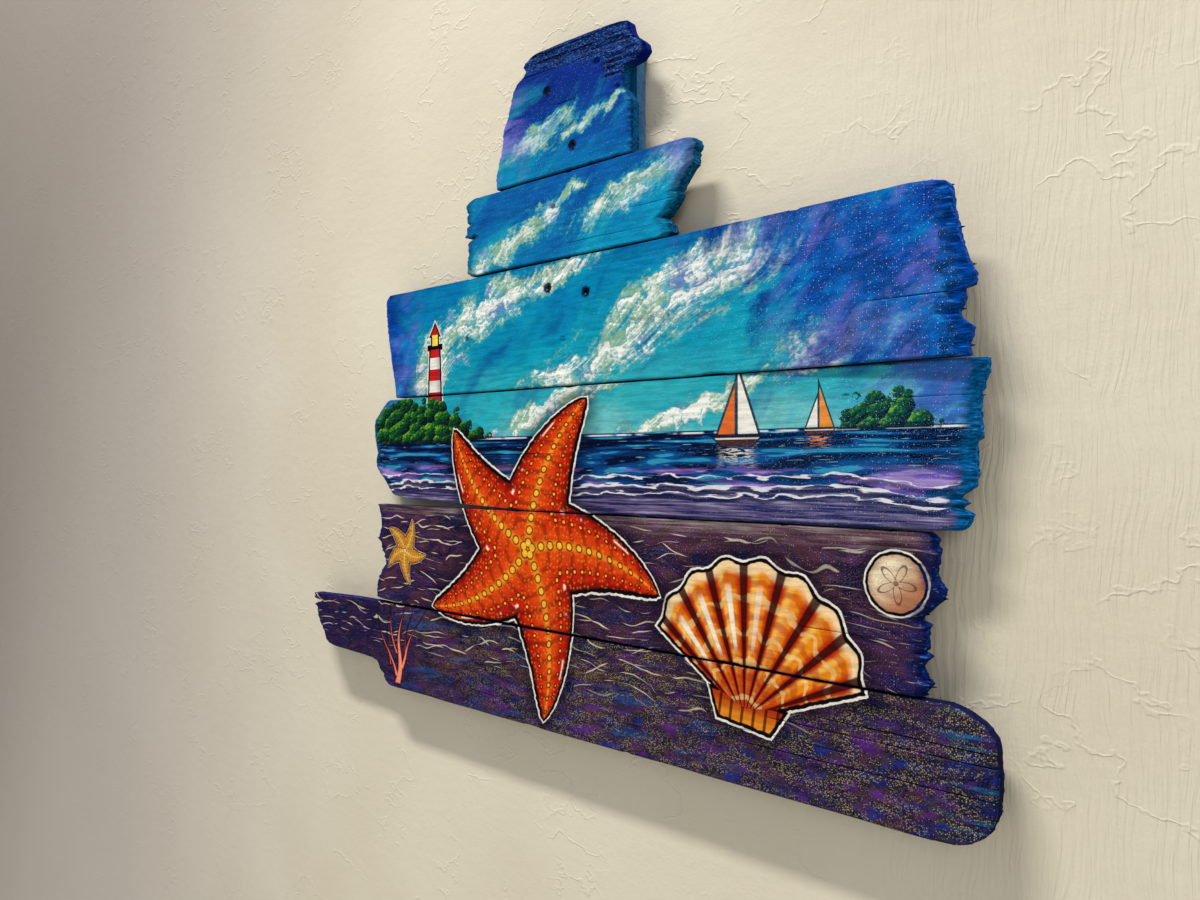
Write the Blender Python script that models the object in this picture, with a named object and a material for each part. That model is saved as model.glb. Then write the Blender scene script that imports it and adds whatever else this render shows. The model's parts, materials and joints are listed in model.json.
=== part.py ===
"""A painted wall plaque: six reclaimed dog-ear fence boards stacked on one upright backing board.

Metres, +Z up. X runs along the boards and Y runs into the wall. The backing board's rear face
lies in the wall's plane at Y = 0, its centre is the origin, and the boards face -Y.
Sizes below are in millimetres and are turned into metres where points are made.
"""
import math
import random

import bmesh
import bpy
from mathutils import Vector

MM = 0.001

# Driving sizes: fence pickets are 5/8 in thick and 5 1/2 in wide.
BOARD_THICKNESS = 16.0
PICKET_WIDTH = 140.0
BACKER_HEIGHT = 730.0
GAP = 0.3
EDGE_CHAMFER = 1.2

BACKER_FRONT = -BOARD_THICKNESS
BOARD_BACK = BACKER_FRONT - GAP
BOARD_FRONT = BOARD_BACK - BOARD_THICKNESS

# Wood screws, their clearance holes and how deep each piece is drilled.
SCREW_SIDES = 12
SHANK_RADIUS = 2.1
HEAD_RADIUS = 4.4
HEAD_SUNK = 1.6
HEAD_CONE = 4.0
SHANK_LENGTH = 26.5
TIP_LENGTH = 3.0
HOLE_RADIUS = 2.5
HOLE_MOUTH_RADIUS = 5.6
HOLE_CONE = 6.0
HOLE_LENGTH = 28.0

# Sawtooth hanger, let into a shallow recess in the backing board's rear face.
RECESS_SIZE = (78.0, 3.4, 27.0)
RECESS_Z = 300.0
HANGER_LENGTH = 66.0
HANGER_HEIGHT = 9.0
HANGER_THICKNESS = 0.8
HANGER_RISE = 1.5
TAB_LENGTH = 9.0
BEND_LENGTH = 3.0
TOOTH_DEPTH = 1.6
TEETH = 12
PIN_RADIUS = 0.7
PIN_HEAD_RADIUS = 1.9
PIN_HEAD_THICKNESS = 0.5
PIN_LENGTH = 8.0

# Each board: the heights of its lower and upper edges at its left and right ends, then each end's
# outline as (height above the lower edge, X). A weathered end also has how far its front face is
# split away: (length of the split along the board, depth of the split at the end).
BOARDS = {
    "board_1": {
        "lower": (249.0, 246.0),
        "upper": (398.5, 395.5),
        "left": [(0, -139), (13, -140), (33, -135), (51, -129), (69, -127), (86, -119), (103, -113),
                 (113, -110), (120, -104), (126, -92), (131, -88), (138, -93), (142, -90), (146, -83),
                 (149.5, -64)],
        "right": [(0, 75), (54, 75), (59, 74), (64, 70), (72, 65), (88, 64), (97, 66), (99, 84),
                  (103, 90), (106, 92.5), (114, 90), (120, 84), (125, 77), (134, 71), (144, 69),
                  (147, 50), (148.5, 0), (149.5, -40)],
        "split": {"left": (4.0, 1.5), "right": (6.0, 4.0)},
        "color": (0.035, 0.10, 0.38),
    },
    "board_2": {
        "lower": (150.0, 147.6),
        "upper": (247.6, 244.4),
        "left": [(0, -187), (5, -195), (22, -196), (28, -192), (38, -194), (44, -192), (46.5, -181),
                 (49, -181), (51, -200), (56, -198), (63, -197), (66, -190), (70, -197), (79, -197),
                 (81, -194), (90, -198), (95, -192), (97.6, -184)],
        "right": [(0, 119), (4.5, 127), (13, 126), (18, 120), (22.5, 115), (24, 121), (30, 128),
                  (41, 136.5), (45, 134.5), (52, 139.5), (59, 143.5), (65, 149), (69, 155), (82, 156),
                  (84.5, 159), (90, 158), (94, 156), (96.8, 150)],
        "split": {"left": (7.0, 3.0), "right": (7.0, 4.0)},
        "color": (0.06, 0.30, 0.62),
    },
    "board_3": {
        "lower": (4.3, 0.0),
        "upper": (148.0, 146.0),
        "left": [(0, -345), (16, -348), (46, -355), (71, -361), (106, -366), (121, -369), (136, -369),
                 (143.5, -362)],
        "right": [(0, 424), (10, 423.5), (16.5, 425.5), (23, 425.5), (30, 418), (35, 415), (41, 419),
                  (54.5, 420), (56, 426.5), (65, 429.5), (70, 426.5), (80, 421.5), (92, 419),
                  (100, 416), (120, 412), (137, 409.5), (141.5, 406), (145, 396)],
        "split": {"left": (4.0, 1.5), "right": (18.0, 6.0)},
        "bow": (120.0, 10.0),
        "color": (0.10, 0.42, 0.62),
    },
    "board_4": {
        "lower": (-140.9, -140.2),
        "upper": (1.8, -0.6),
        "left": [(0, -90), (2.5, -157), (6, -249), (8.6, -321), (12.4, -348), (15, -354), (21, -360),
                 (46, -387), (51, -391), (63, -391), (71, -389), (87, -394), (106, -397), (114, -396),
                 (120, -390), (137.7, -370), (142.7, -362)],
        "right": [(0, 413), (5, 418.5), (14, 422), (19, 412.5), (23, 418), (27.5, 411.5), (35.5, 422),
                  (40, 425), (72, 425), (75.5, 428), (111, 429), (121, 432), (130, 435), (139.6, 436)],
        "split": {"left": (5.0, 2.0), "right": (15.0, 8.0)},
        "color": (0.05, 0.20, 0.34),
    },
    "board_5": {
        "lower": (-276.4, -278.0),
        "upper": (-142.2, -141.7),
        "left": [(0, -310), (1.1, -357), (2.2, -384), (4, -391), (19.5, -391), (29.5, -387),
                 (44.5, -376), (49.5, -369), (61.5, -372), (75.5, -380), (82.5, -383), (85.5, -389),
                 (88.5, -386), (101.5, -380), (118.5, -381), (134.2, -388)],
        "right": [(0, 384), (2, 382), (11, 389), (14, 385), (19, 382), (26, 381), (33.5, 388),
                  (36.5, 382), (40, 385), (50, 385), (60, 387), (62, 382), (66, 382), (73.5, 389),
                  (80.5, 397), (89.5, 401), (96, 395), (106, 393), (121, 396), (126.5, 393),
                  (131, 395), (136.3, 389)],
        "split": {"left": (6.0, 3.0), "right": (8.0, 6.0)},
        "color": (0.17, 0.12, 0.24),
    },
    "board_6": {
        "lower": (-393.0, -392.0),
        "upper": (-278.6, -279.4),
        "left": [(0, -364), (5, -372), (15, -377), (18, -384), (26, -389), (31, -396), (33.5, -405),
                 (35, -430), (36.5, -505), (39, -520), (43, -527), (51, -529), (65, -541), (75, -548),
                 (88, -551), (93, -556), (96, -548), (97, -538), (100.5, -538), (101.5, -557),
                 (103, -559), (109.5, -557), (112.9, -469), (114.4, -390)],
        "right": [(0, 392), (2, 411), (5, 421), (12, 431), (18, 436), (31, 441), (51, 443), (67, 443),
                  (82, 442), (91, 440), (97.5, 435), (102.5, 429), (107.5, 419), (112.6, 406)],
        "split": {"left": (9.0, 4.0), "right": (3.0, 1.5)},
        "color": (0.09, 0.08, 0.16),
    },
}

# Screws driven through a board's face, and screws driven from the backing board's rear: (X, Z).
FRONT_SCREWS = {
    "board_1": [(-51.0, 346.0), (-11.0, 274.0)],
    "board_3": [(-49.5, 117.0), (10.0, 105.0)],
    "board_6": [(-14.0, -336.0)],
}
REAR_SCREWS = {
    "board_2": [(-40.0, 172.0), (40.0, 224.0)],
    "board_4": [(-40.0, -36.0), (40.0, -100.0)],
    "board_5": [(-40.0, -176.0), (40.0, -240.0)],
    "board_6": [(40.0, -312.0)],
}

PAINTED_EDGE_COLOR = (0.03, 0.16, 0.20)
STEEL_COLOR = (0.36, 0.35, 0.34)
ZINC_COLOR = (0.62, 0.62, 0.60)

INNER_COLUMNS = 6
BOW_POWER = 1.4
RAGGEDNESS = 0.7


def clear_scene():
    for item in list(bpy.data.objects):
        bpy.data.objects.remove(item, do_unlink=True)


def material(name, color, roughness, metallic=0.0):
    made = bpy.data.materials.new(name)
    made.use_nodes = True
    shader = made.node_tree.nodes["Principled BSDF"]
    shader.inputs["Base Color"].default_value = (*color, 1.0)
    shader.inputs["Roughness"].default_value = roughness
    shader.inputs["Metallic"].default_value = metallic
    made.diffuse_color = (*color, 1.0)
    return made


def object_from(bm, name, finish, location=(0.0, 0.0, 0.0)):
    """Turns a bmesh, drawn in millimetres about its own origin, into a placed object in metres."""
    bmesh.ops.recalc_face_normals(bm, faces=bm.faces[:])
    bmesh.ops.scale(bm, vec=(MM, MM, MM), verts=bm.verts[:])
    mesh = bpy.data.meshes.new(name)
    bm.to_mesh(mesh)
    bm.free()
    made = bpy.data.objects.new(name, mesh)
    made.location = Vector(location) * MM
    if finish:
        mesh.materials.append(finish)
    bpy.context.scene.collection.objects.link(made)
    return made


def round_off(made, angle=40.0):
    made.data.shade_smooth()
    made.data.set_sharp_from_angle(angle=math.radians(angle))


def cut(target, cutter):
    cutter.hide_render = True
    cutter.display_type = "WIRE"
    modifier = target.modifiers.new(cutter.name, "BOOLEAN")
    modifier.operation = "DIFFERENCE"
    modifier.object = cutter


def outline_at(outline, share):
    """X of an end outline at a share, 0 to 1, of the board's height at that end."""
    height = share * outline[-1][0]
    for (low, x_low), (high, x_high) in zip(outline, outline[1:]):
        if height <= high:
            return x_low + (x_high - x_low) * (height - low) / (high - low)
    return outline[-1][1]


def row_shares(board):
    """Heights of a board's rows, as shares of its height: one for each point of either end."""
    shares = {round(h / board[side][-1][0], 5) for side in ("left", "right") for h, _ in board[side]}
    chamfer = EDGE_CHAMFER / board["left"][-1][0]
    rows = [share for share in sorted(shares) if chamfer * 1.5 < share < 1 - chamfer * 1.5]
    spaced = [0.0, chamfer]
    for share in rows:
        if share - spaced[-1] > 0.002:
            spaced.append(share)
    return spaced + [1 - chamfer, 1.0]


def forward_bow(board, x):
    """How far a warped board stands forward of the others at X."""
    if "bow" not in board:
        return 0.0
    start, rise = board["bow"]
    reach = board["right"][0][1] - start
    return rise * max(0.0, (x - start) / reach) ** BOW_POWER


def row_points(board, share, inset, split_depths):
    """One row of a board's front face: (X, Z, depth behind the face), from left to right."""
    left_split, right_split = split_depths
    x_left = outline_at(board["left"], share)
    x_right = outline_at(board["right"], share)
    width = x_right - x_left
    left_reach = min(board["split"]["left"][0], width * 0.2)
    right_reach = min(board["split"]["right"][0], width * 0.2)
    x_inner = [x_left + left_reach, x_right - right_reach]
    inner = [x_inner[0] + (x_inner[1] - x_inner[0]) * i / INNER_COLUMNS for i in range(INNER_COLUMNS + 1)]
    columns = [x_left] + inner + [x_right]
    depths = [left_split] + [0.0] * len(inner) + [right_split]
    x_start, x_end = board["left"][0][1], board["right"][0][1]
    points = []
    for x, depth in zip(columns, depths):
        along = (x - x_start) / (x_end - x_start)
        low = board["lower"][0] + (board["lower"][1] - board["lower"][0]) * along
        high = board["upper"][0] + (board["upper"][1] - board["upper"][0]) * along
        points.append((x, low + (high - low) * share, max(depth, inset)))
    return points


def add_board(name, board):
    """A board as one closed slab: a front face of rows and columns, extruded back to a flat rear."""
    rng = random.Random(name)
    shares = row_shares(board)
    bm = bmesh.new()
    rows = []
    for number, share in enumerate(shares):
        outermost = number in (0, len(shares) - 1)
        inset = EDGE_CHAMFER if outermost else 0.0
        splits = [
            max(EDGE_CHAMFER, board["split"][side][1] * rng.uniform(0.45, 1.0))
            for side in ("left", "right")
        ]
        ragged = 0.0 if outermost else RAGGEDNESS
        points = row_points(board, share, inset, splits)
        row = []
        for column, (x, z, depth) in enumerate(points):
            if column in (0, len(points) - 1):
                x += rng.uniform(-ragged, ragged)
            row.append(bm.verts.new((x, BOARD_FRONT + depth - forward_bow(board, x), z)))
        rows.append(row)
    for lower, upper in zip(rows, rows[1:]):
        for i in range(len(lower) - 1):
            bm.faces.new((lower[i], lower[i + 1], upper[i + 1], upper[i]))
    grown = bmesh.ops.extrude_face_region(bm, geom=bm.faces[:])
    for vert in grown["geom"]:
        if isinstance(vert, bmesh.types.BMVert):
            vert.co.y = BOARD_BACK - forward_bow(board, vert.co.x)
    bmesh.ops.dissolve_limit(
        bm, angle_limit=math.radians(0.1), verts=bm.verts[:], edges=bm.edges[:])
    bmesh.ops.triangulate(bm, faces=[face for face in bm.faces if len(face.verts) > 4])
    paint = material(name + "_paint", board["color"], 0.45)
    return object_from(bm, name, paint)


def turned(name, profile, finish, location, facing):
    """A round solid turned about Y from (depth, radius) pairs. Facing is +1 to run into the wall."""
    bm = bmesh.new()
    rings = []
    for depth, radius in profile:
        ring = []
        for i in range(SCREW_SIDES):
            angle = 2 * math.pi * i / SCREW_SIDES
            spot = (radius * math.cos(angle), facing * depth, radius * math.sin(angle))
            ring.append(bm.verts.new(spot))
        rings.append(ring)
    for near, far in zip(rings, rings[1:]):
        for i in range(SCREW_SIDES):
            j = (i + 1) % SCREW_SIDES
            bm.faces.new((near[i], near[j], far[j], far[i]))
    bm.faces.new(rings[0])
    bm.faces.new(rings[-1])
    return object_from(bm, name, finish, location)


def add_screw(name, x, z, face_y, facing, finish):
    profile = [
        (HEAD_SUNK, HEAD_RADIUS),
        (HEAD_SUNK + HEAD_CONE, SHANK_RADIUS),
        (SHANK_LENGTH - TIP_LENGTH, SHANK_RADIUS),
        (SHANK_LENGTH, 0.4),
    ]
    screw = turned(name, profile, finish, (x, face_y, z), facing)
    round_off(screw)
    return screw


def hole_cutter(name, x, z, face_y, facing):
    """The countersunk clearance hole of one screw. It starts a little outside the face."""
    slope = (HOLE_MOUTH_RADIUS - HOLE_RADIUS) / HOLE_CONE
    profile = [
        (-1.0, HOLE_MOUTH_RADIUS + slope),
        (HOLE_CONE, HOLE_RADIUS),
        (HOLE_LENGTH, HOLE_RADIUS),
    ]
    return turned(name, profile, None, (x, face_y, z), facing)


def add_screws(boards, backer):
    steel = material("screw_steel", STEEL_COLOR, 0.45, 1.0)
    groups = (("front", FRONT_SCREWS, BOARD_FRONT, 1), ("rear", REAR_SCREWS, 0.0, -1))
    for side, screws, face_y, facing in groups:
        for board_name, places in screws.items():
            for number, (x, z) in enumerate(places, 1):
                name = f"screw_{side}_{board_name}_{number}"
                hole = hole_cutter(f"hole_{side}_{board_name}_{number}", x, z, face_y, facing)
                cut(boards[board_name], hole)
                cut(backer, hole)
                add_screw(name, x, z, face_y, facing, steel)


def box(name, size, location, finish=None, chamfer=0.0):
    bm = bmesh.new()
    bmesh.ops.create_cube(bm, size=1.0)
    bmesh.ops.scale(bm, vec=size, verts=bm.verts[:])
    if chamfer:
        bmesh.ops.bevel(bm, geom=bm.edges[:], offset=chamfer, segments=1, affect="EDGES")
    return object_from(bm, name, finish, location)


def add_backer():
    size = (PICKET_WIDTH, BOARD_THICKNESS, BACKER_HEIGHT)
    finish = material("backer_paint", PAINTED_EDGE_COLOR, 0.55)
    backer = box("backer", size, (0, -BOARD_THICKNESS / 2, 0), finish, chamfer=1.0)
    width, depth, height = RECESS_SIZE
    recess = box("hanger_recess", (width, depth * 2, height), (0, 0, RECESS_Z))
    cut(backer, recess)
    return backer


def hanger_stations():
    """The hanger's bends and teeth along X: (X, height above the recess floor, tooth share)."""
    half = HANGER_LENGTH / 2
    flat_end = half - TAB_LENGTH
    raised_end = flat_end - BEND_LENGTH
    stations = [(-half, 0.0, 0.0), (-flat_end, 0.0, 0.0)]
    pitch = 2 * raised_end / TEETH
    for i in range(TEETH):
        x = -raised_end + i * pitch
        stations += [(x, HANGER_RISE, 0.0), (x + pitch / 2, HANGER_RISE, 1.0)]
    stations += [(raised_end, HANGER_RISE, 0.0), (flat_end, 0.0, 0.0), (half, 0.0, 0.0)]
    return stations


def add_hanger():
    """A sawtooth hanger: a bent metal strip with teeth cut up into its lower edge."""
    zinc = material("hanger_zinc", ZINC_COLOR, 0.4, 1.0)
    bm = bmesh.new()
    sections = []
    for x, rise, tooth in hanger_stations():
        bottom = -HANGER_HEIGHT / 2 + TOOTH_DEPTH * tooth
        top = HANGER_HEIGHT / 2
        corners = ((rise, bottom), (rise, top), (rise + HANGER_THICKNESS, top),
                   (rise + HANGER_THICKNESS, bottom))
        sections.append([bm.verts.new((x, y, z)) for y, z in corners])
    for near, far in zip(sections, sections[1:]):
        for i in range(4):
            j = (i + 1) % 4
            bm.faces.new((near[i], near[j], far[j], far[i]))
    bm.faces.new(sections[0])
    bm.faces.new(sections[-1])
    floor_y = -RECESS_SIZE[1]
    hanger = object_from(bm, "hanger", zinc, (0, floor_y + GAP, RECESS_Z))
    return hanger


def add_pins(hanger, backer):
    """Two nails through the hanger's flat ends."""
    steel = material("pin_steel", STEEL_COLOR, 0.4, 1.0)
    head_y = -RECESS_SIZE[1] + GAP + HANGER_THICKNESS + GAP + PIN_HEAD_THICKNESS
    for side, sign in (("left", -1), ("right", 1)):
        x = sign * (HANGER_LENGTH - TAB_LENGTH) / 2
        profile = [
            (0.0, PIN_HEAD_RADIUS),
            (PIN_HEAD_THICKNESS, PIN_HEAD_RADIUS),
            (PIN_HEAD_THICKNESS + 0.01, PIN_RADIUS),
            (PIN_LENGTH, PIN_RADIUS),
        ]
        pin = turned(f"pin_{side}", profile, steel, (x, head_y, RECESS_Z), -1)
        round_off(pin)
        drill_profile = [(-1.0, PIN_RADIUS + GAP), (PIN_LENGTH + GAP, PIN_RADIUS + GAP)]
        drill = turned(f"pin_hole_{side}", drill_profile, None, (x, head_y, RECESS_Z), -1)
        cut(hanger, drill)
        cut(backer, drill)


def main():
    clear_scene()
    boards = {name: add_board(name, board) for name, board in BOARDS.items()}
    backer = add_backer()
    add_screws(boards, backer)
    hanger = add_hanger()
    add_pins(hanger, backer)


main()
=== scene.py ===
"""The looks of a wall plaque: six weathered fence boards on a backing board, with a seaside.

Each board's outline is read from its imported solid. The board is then built again as one dense
closed slab with rounded edges, grain, cracks, knots and torn ends. The picture is painted by
shader nodes that work in millimetres along X and Z, so it runs on from board to board.
"""
import json
import math
import random

import bmesh
import bpy
import numpy as np
from mathutils import Matrix, Vector
from mathutils.bvhtree import BVHTree

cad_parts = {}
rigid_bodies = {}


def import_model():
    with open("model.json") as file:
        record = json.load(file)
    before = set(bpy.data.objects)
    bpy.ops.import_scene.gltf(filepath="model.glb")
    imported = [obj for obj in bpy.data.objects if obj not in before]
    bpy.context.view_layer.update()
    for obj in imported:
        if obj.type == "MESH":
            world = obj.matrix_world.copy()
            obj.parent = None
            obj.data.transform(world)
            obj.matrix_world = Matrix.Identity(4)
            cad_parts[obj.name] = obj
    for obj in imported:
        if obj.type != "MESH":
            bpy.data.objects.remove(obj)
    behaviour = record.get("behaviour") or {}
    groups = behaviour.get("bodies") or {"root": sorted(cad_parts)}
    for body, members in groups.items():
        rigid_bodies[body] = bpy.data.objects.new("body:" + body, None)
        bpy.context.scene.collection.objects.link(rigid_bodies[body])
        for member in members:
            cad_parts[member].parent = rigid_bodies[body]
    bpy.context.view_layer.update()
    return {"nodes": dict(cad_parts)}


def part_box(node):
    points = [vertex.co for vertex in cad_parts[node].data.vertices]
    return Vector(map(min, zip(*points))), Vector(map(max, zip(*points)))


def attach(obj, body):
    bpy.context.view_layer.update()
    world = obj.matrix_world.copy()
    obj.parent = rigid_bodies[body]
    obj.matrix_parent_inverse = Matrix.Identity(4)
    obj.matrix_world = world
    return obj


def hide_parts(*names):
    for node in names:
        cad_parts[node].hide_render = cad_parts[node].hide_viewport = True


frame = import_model()

MM = 0.001
BODY = "root"
BAKE_MAP = "OFBake"

# The warped board stands forward of the others: where that starts along X, where it ends and by
# how much there, in mm.
BOWED = {"board_3": (120.0, 424.0, 10.0)}
BOW_POWER = 1.4

# Each board's worn look, in mm. "round": radius of its edges. "ends": roughness of the broken
# fibres at the left and right end. "splinters": how many slivers stand at each end. "cracks": (X at
# the start, X at the end, height Z, depth). "knots": (X, Z, radius, depth).
BOARDS = {
    "board_1": {
        "round": 1.8, "ends": (0.3, 0.15), "splinters": (0, 0),
        "cracks": [(-46, 3, 325, 1.3), (-100, -34, 371, 1.6), (-84, 52, 382, 2.0),
                   (-70, 30, 391, 1.6)],
        "knots": [(26, 357, 5.0, 2.2), (56, 321, 3.6, 1.6)],
    },
    "board_2": {
        "round": 1.5, "ends": (0.9, 0.9), "splinters": (3, 4),
        "cracks": [(-215, -172, 198.5, 4.0), (-30, 110, 163, 0.5), (70, 160, 186, 0.5)],
        "knots": [(-42, 210, 5.0, 0.4), (-180, 199, 3.5, 2.5)],
    },
    "board_3": {
        "round": 1.5, "ends": (0.3, 0.9), "splinters": (0, 5),
        "cracks": [(330, 440, 52, 1.2), (250, 350, 112, 0.5), (-340, -210, 30, 0.5)],
        "knots": [(-25, 55, 4.4, 0.5), (-194, 71, 4.6, 0.6), (262, 96, 3.6, 0.4)],
    },
    "board_4": {
        "round": 1.5, "ends": (0.6, 0.9), "splinters": (2, 5),
        "cracks": [(-201, -34, -75, 2.4), (350, 450, -30, 0.9), (-400, -320, -42, 0.6)],
        "knots": [(318, -28, 4.0, 0.4)],
    },
    "board_5": {
        "round": 1.5, "ends": (0.9, 1.1), "splinters": (4, 6),
        "cracks": [(-400, -240, -202, 0.8), (260, 410, -233, 1.0), (-60, 130, -258, 0.6)],
        "knots": [(384, -168, 4.4, 0.5), (-352, -208, 4.4, 0.4)],
    },
    "board_6": {
        "round": 3.2, "ends": (1.1, 0.3), "splinters": (4, 0),
        "cracks": [(288, 452, -312, 2.6), (232, 450, -322, 2.0), (205, 452, -350, 2.6),
                   (120, 330, -338, 1.0), (-560, -330, -318, 1.4), (-330, -120, -369, 0.7)],
        "knots": [(168, -345, 4.0, 1.0), (-410, -332, 5.0, 0.6)],
    },
    "backer": {"round": 1.2, "ends": (0.25, 0.25), "splinters": (0, 0), "cracks": [], "knots": []},
}

# Resolution of the dense slabs, in mm, and how deep the layers lie as shares of the thickness.
ROW_STEP, ROW_PER_STEP, LEAST_ROW = 1.35, 9.0, 0.3
COLUMN_STEP, KNOT_COLUMNS = 4.0, 11
END_STEPS = (0, 0.5, 1.1, 1.8, 2.6, 3.6, 4.8, 6.2, 7.9, 9.9, 12.2, 15, 18, 21.5)
EDGE_STEPS = (0, 0.35, 0.8, 1.4, 2.2, 3.3)
CRACK_ROWS = ((-0.8, 0.0), (-0.32, 0.5), (0.0, 1.0), (0.32, 0.5), (0.8, 0.0))
LAYER_SHARES = (0, 0.05, 0.12, 0.22, 0.34, 0.46, 0.58, 0.70, 0.81, 0.90, 0.96, 1)
SCAN_STEP = 0.2
# A start for rays beyond every end, and the length from which a front takes two map strips.
FAR, WIDE = 900.0, 450.0
# How far wear reaches in from a long edge, from the front or rear face and from a broken end.
EDGE_REACH, FACE_REACH, END_REACH = 5, 4, 9
# Over this length a crack opens at its start and closes at its end.
CRACK_FADE = 18


# ---------------------------------------------------------------- numeric noise

def lattice(ix, iz, seed):
    """A repeatable value from 0 to 1 at each whole-number grid point."""
    h = ix.astype(np.int64) * 374761393 + iz.astype(np.int64) * 668265263 + seed * 1442695041
    h = h & 0xFFFFFFFF
    h = ((h ^ (h >> 13)) * 1274126177) & 0xFFFFFFFF
    return ((h ^ (h >> 16)) & 0xFFFF) / 65535.0


def noise(u, v, seed):
    """Smooth value noise from -1 to 1."""
    u, v = np.broadcast_arrays(np.asarray(u, float), np.asarray(v, float))
    iu, iv = np.floor(u), np.floor(v)
    fu, fv = (part * part * (3 - 2 * part) for part in (u - iu, v - iv))
    low, high = (lattice(iu, row, seed) * (1 - fu) + lattice(iu + 1, row, seed) * fu
                 for row in (iv, iv + 1))
    return 2 * (low * (1 - fv) + high * fv) - 1


def eased(value, start, end):
    t = np.clip((value - start) / (end - start), 0, 1)
    return t * t * (3 - 2 * t)


# ---------------------------------------------------------------- boards as dense slabs

def bow(name, x):
    """How far a warped board stands forward at X."""
    if name not in BOWED:
        return np.zeros_like(x)
    start, end, rise = BOWED[name]
    return rise * (np.maximum(0, x - start) / (end - start)) ** BOW_POWER


def hull_line(points, side):
    """The longest straight run of the lower (-1) or upper (+1) outline, as Z = base + slope * X."""
    hull = []
    for x, z in sorted((x, -side * z) for x, _, z in points.tolist()):
        while len(hull) > 1:
            (x1, z1), (x2, z2) = hull[-2:]
            if (x2 - x1) * (z - z1) - (z2 - z1) * (x - x1) > 0.02 * (x - x1):
                break
            hull.pop()
        hull.append((x, z))
    (x1, z1), (x2, z2) = max(zip(hull, hull[1:]), key=lambda pair: pair[1][0] - pair[0][0])
    slope = (z2 - z1) / (x2 - x1)
    return -side * (z1 - slope * x1), -side * slope


class Outline:
    """A board's outline and front face, read off its solid along lines that follow the grain."""

    def __init__(self, name):
        mesh = frame["nodes"][name].data
        points = np.empty(len(mesh.vertices) * 3)
        mesh.vertices.foreach_get("co", points)
        points = points.reshape(-1, 3) / MM
        points[:, 1] += bow(name, points[:, 0])
        self.tree = BVHTree.FromPolygons([tuple(point) for point in points],
                                         [tuple(face.vertices) for face in mesh.polygons])
        self.front, self.back = points[:, 1].min(), points[:, 1].max()
        self.lower, self.upper = (np.array(hull_line(points, side)) for side in (-1, 1))
        middle = (points[:, 0].min() + points[:, 0].max()) / 2
        self.height = float(self.z_at(middle, 1.0) - self.z_at(middle, 0.0))
        self.shares = np.linspace(0, 1, int(self.height / SCAN_STEP))
        self.left, self.right = (np.array([self.end_at(share, side) for share in self.shares])
                                 for side in (-1, 1))

    def line(self, share):
        """Base and slope of the grain line at a share of the height."""
        return [low + (high - low) * share for low, high in zip(self.lower, self.upper)]

    def z_at(self, x, share):
        base, slope = self.line(share)
        return base + slope * x

    def inset(self, share, margin):
        """The share kept a margin, in mm, away from both long edges."""
        return min(max(share, margin / self.height), 1 - margin / self.height)

    def end_at(self, share, side):
        """X where the grain line at this share of the height leaves the board."""
        base, slope = self.line(self.inset(share, 0.25))
        start = Vector((side * FAR, self.back - 1.0, base + slope * side * FAR))
        return self.tree.ray_cast(start, Vector((-side, 0, -side * slope)).normalized())[0].x

    def face_depths(self, share, side, steps):
        """Depth of the torn front face at distances from an end."""
        share = self.inset(share, 3.0)
        end = float(np.interp(share, self.shares, self.left if side < 0 else self.right))
        found = []
        for step in steps:
            x = end - side * max(step, 0.4)
            start = Vector((x, self.front - 30, self.z_at(x, share)))
            spot = self.tree.ray_cast(start, Vector((0, 1, 0)))[0]
            found.append(spot.y - self.front if spot and spot.y < self.back - 2 else np.nan)
        found = np.array(found)
        good = ~np.isnan(found)
        return np.interp(steps, np.array(steps)[good], found[good]) if good.any() else found * 0


def rows_of(outline, look):
    """Shares of the height, closer at the edges, along cracks and where the outline steps."""
    height = outline.height
    step = np.abs(np.gradient(outline.left)) + np.abs(np.gradient(outline.right))
    gap = np.gradient(outline.shares) * height
    reach = np.cumsum(gap / ROW_STEP + np.minimum(step / ROW_PER_STEP, gap / LEAST_ROW))
    inner = np.interp(np.arange(1, reach[-1] - 0.5), reach, outline.shares) * height
    edge = np.array(EDGE_STEPS)
    inner = inner[(inner > edge[-1] + 0.4) & (inner < height - edge[-1] - 0.4)]
    crack_rows = {}
    for number, (start, end, level, _) in enumerate(look["cracks"]):
        low, high = (outline.z_at((start + end) / 2, share) for share in (0, 1))
        at = (level - low) / (high - low) * height
        inner = inner[np.abs(inner - at) > 1.2]
        for offset, amount in CRACK_ROWS:
            crack_rows[round(at + offset, 4)] = (number, amount)
    rows = np.unique(np.round(np.concatenate([edge, inner, height - edge, list(crack_rows)]), 4))
    return rows / height, [crack_rows.get(row) for row in rows]


def columns_of(left, right, look):
    """X of the columns, closer at the ends and round knots."""
    steps = np.array(END_STEPS, float)
    inner = np.arange(left + steps[-1] + COLUMN_STEP, right - steps[-1] - 1, COLUMN_STEP)
    for x, _, radius, _ in look["knots"]:
        reach = radius * 1.5
        inner = inner[np.abs(inner - x) > reach + 1]
        inner = np.append(inner, np.linspace(x - reach, x + reach, KNOT_COLUMNS))
    return np.unique(np.round(np.concatenate([left + steps, inner, right - steps]), 3))


def cells_of(grid, flip):
    """The four corners of each cell of a grid of ids or places, in order round the cell."""
    corners = np.stack([grid[:-1, :-1], grid[:-1, 1:], grid[1:, 1:], grid[1:, :-1]], 2)
    return corners[:, :, ::-1] if flip else corners


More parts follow.
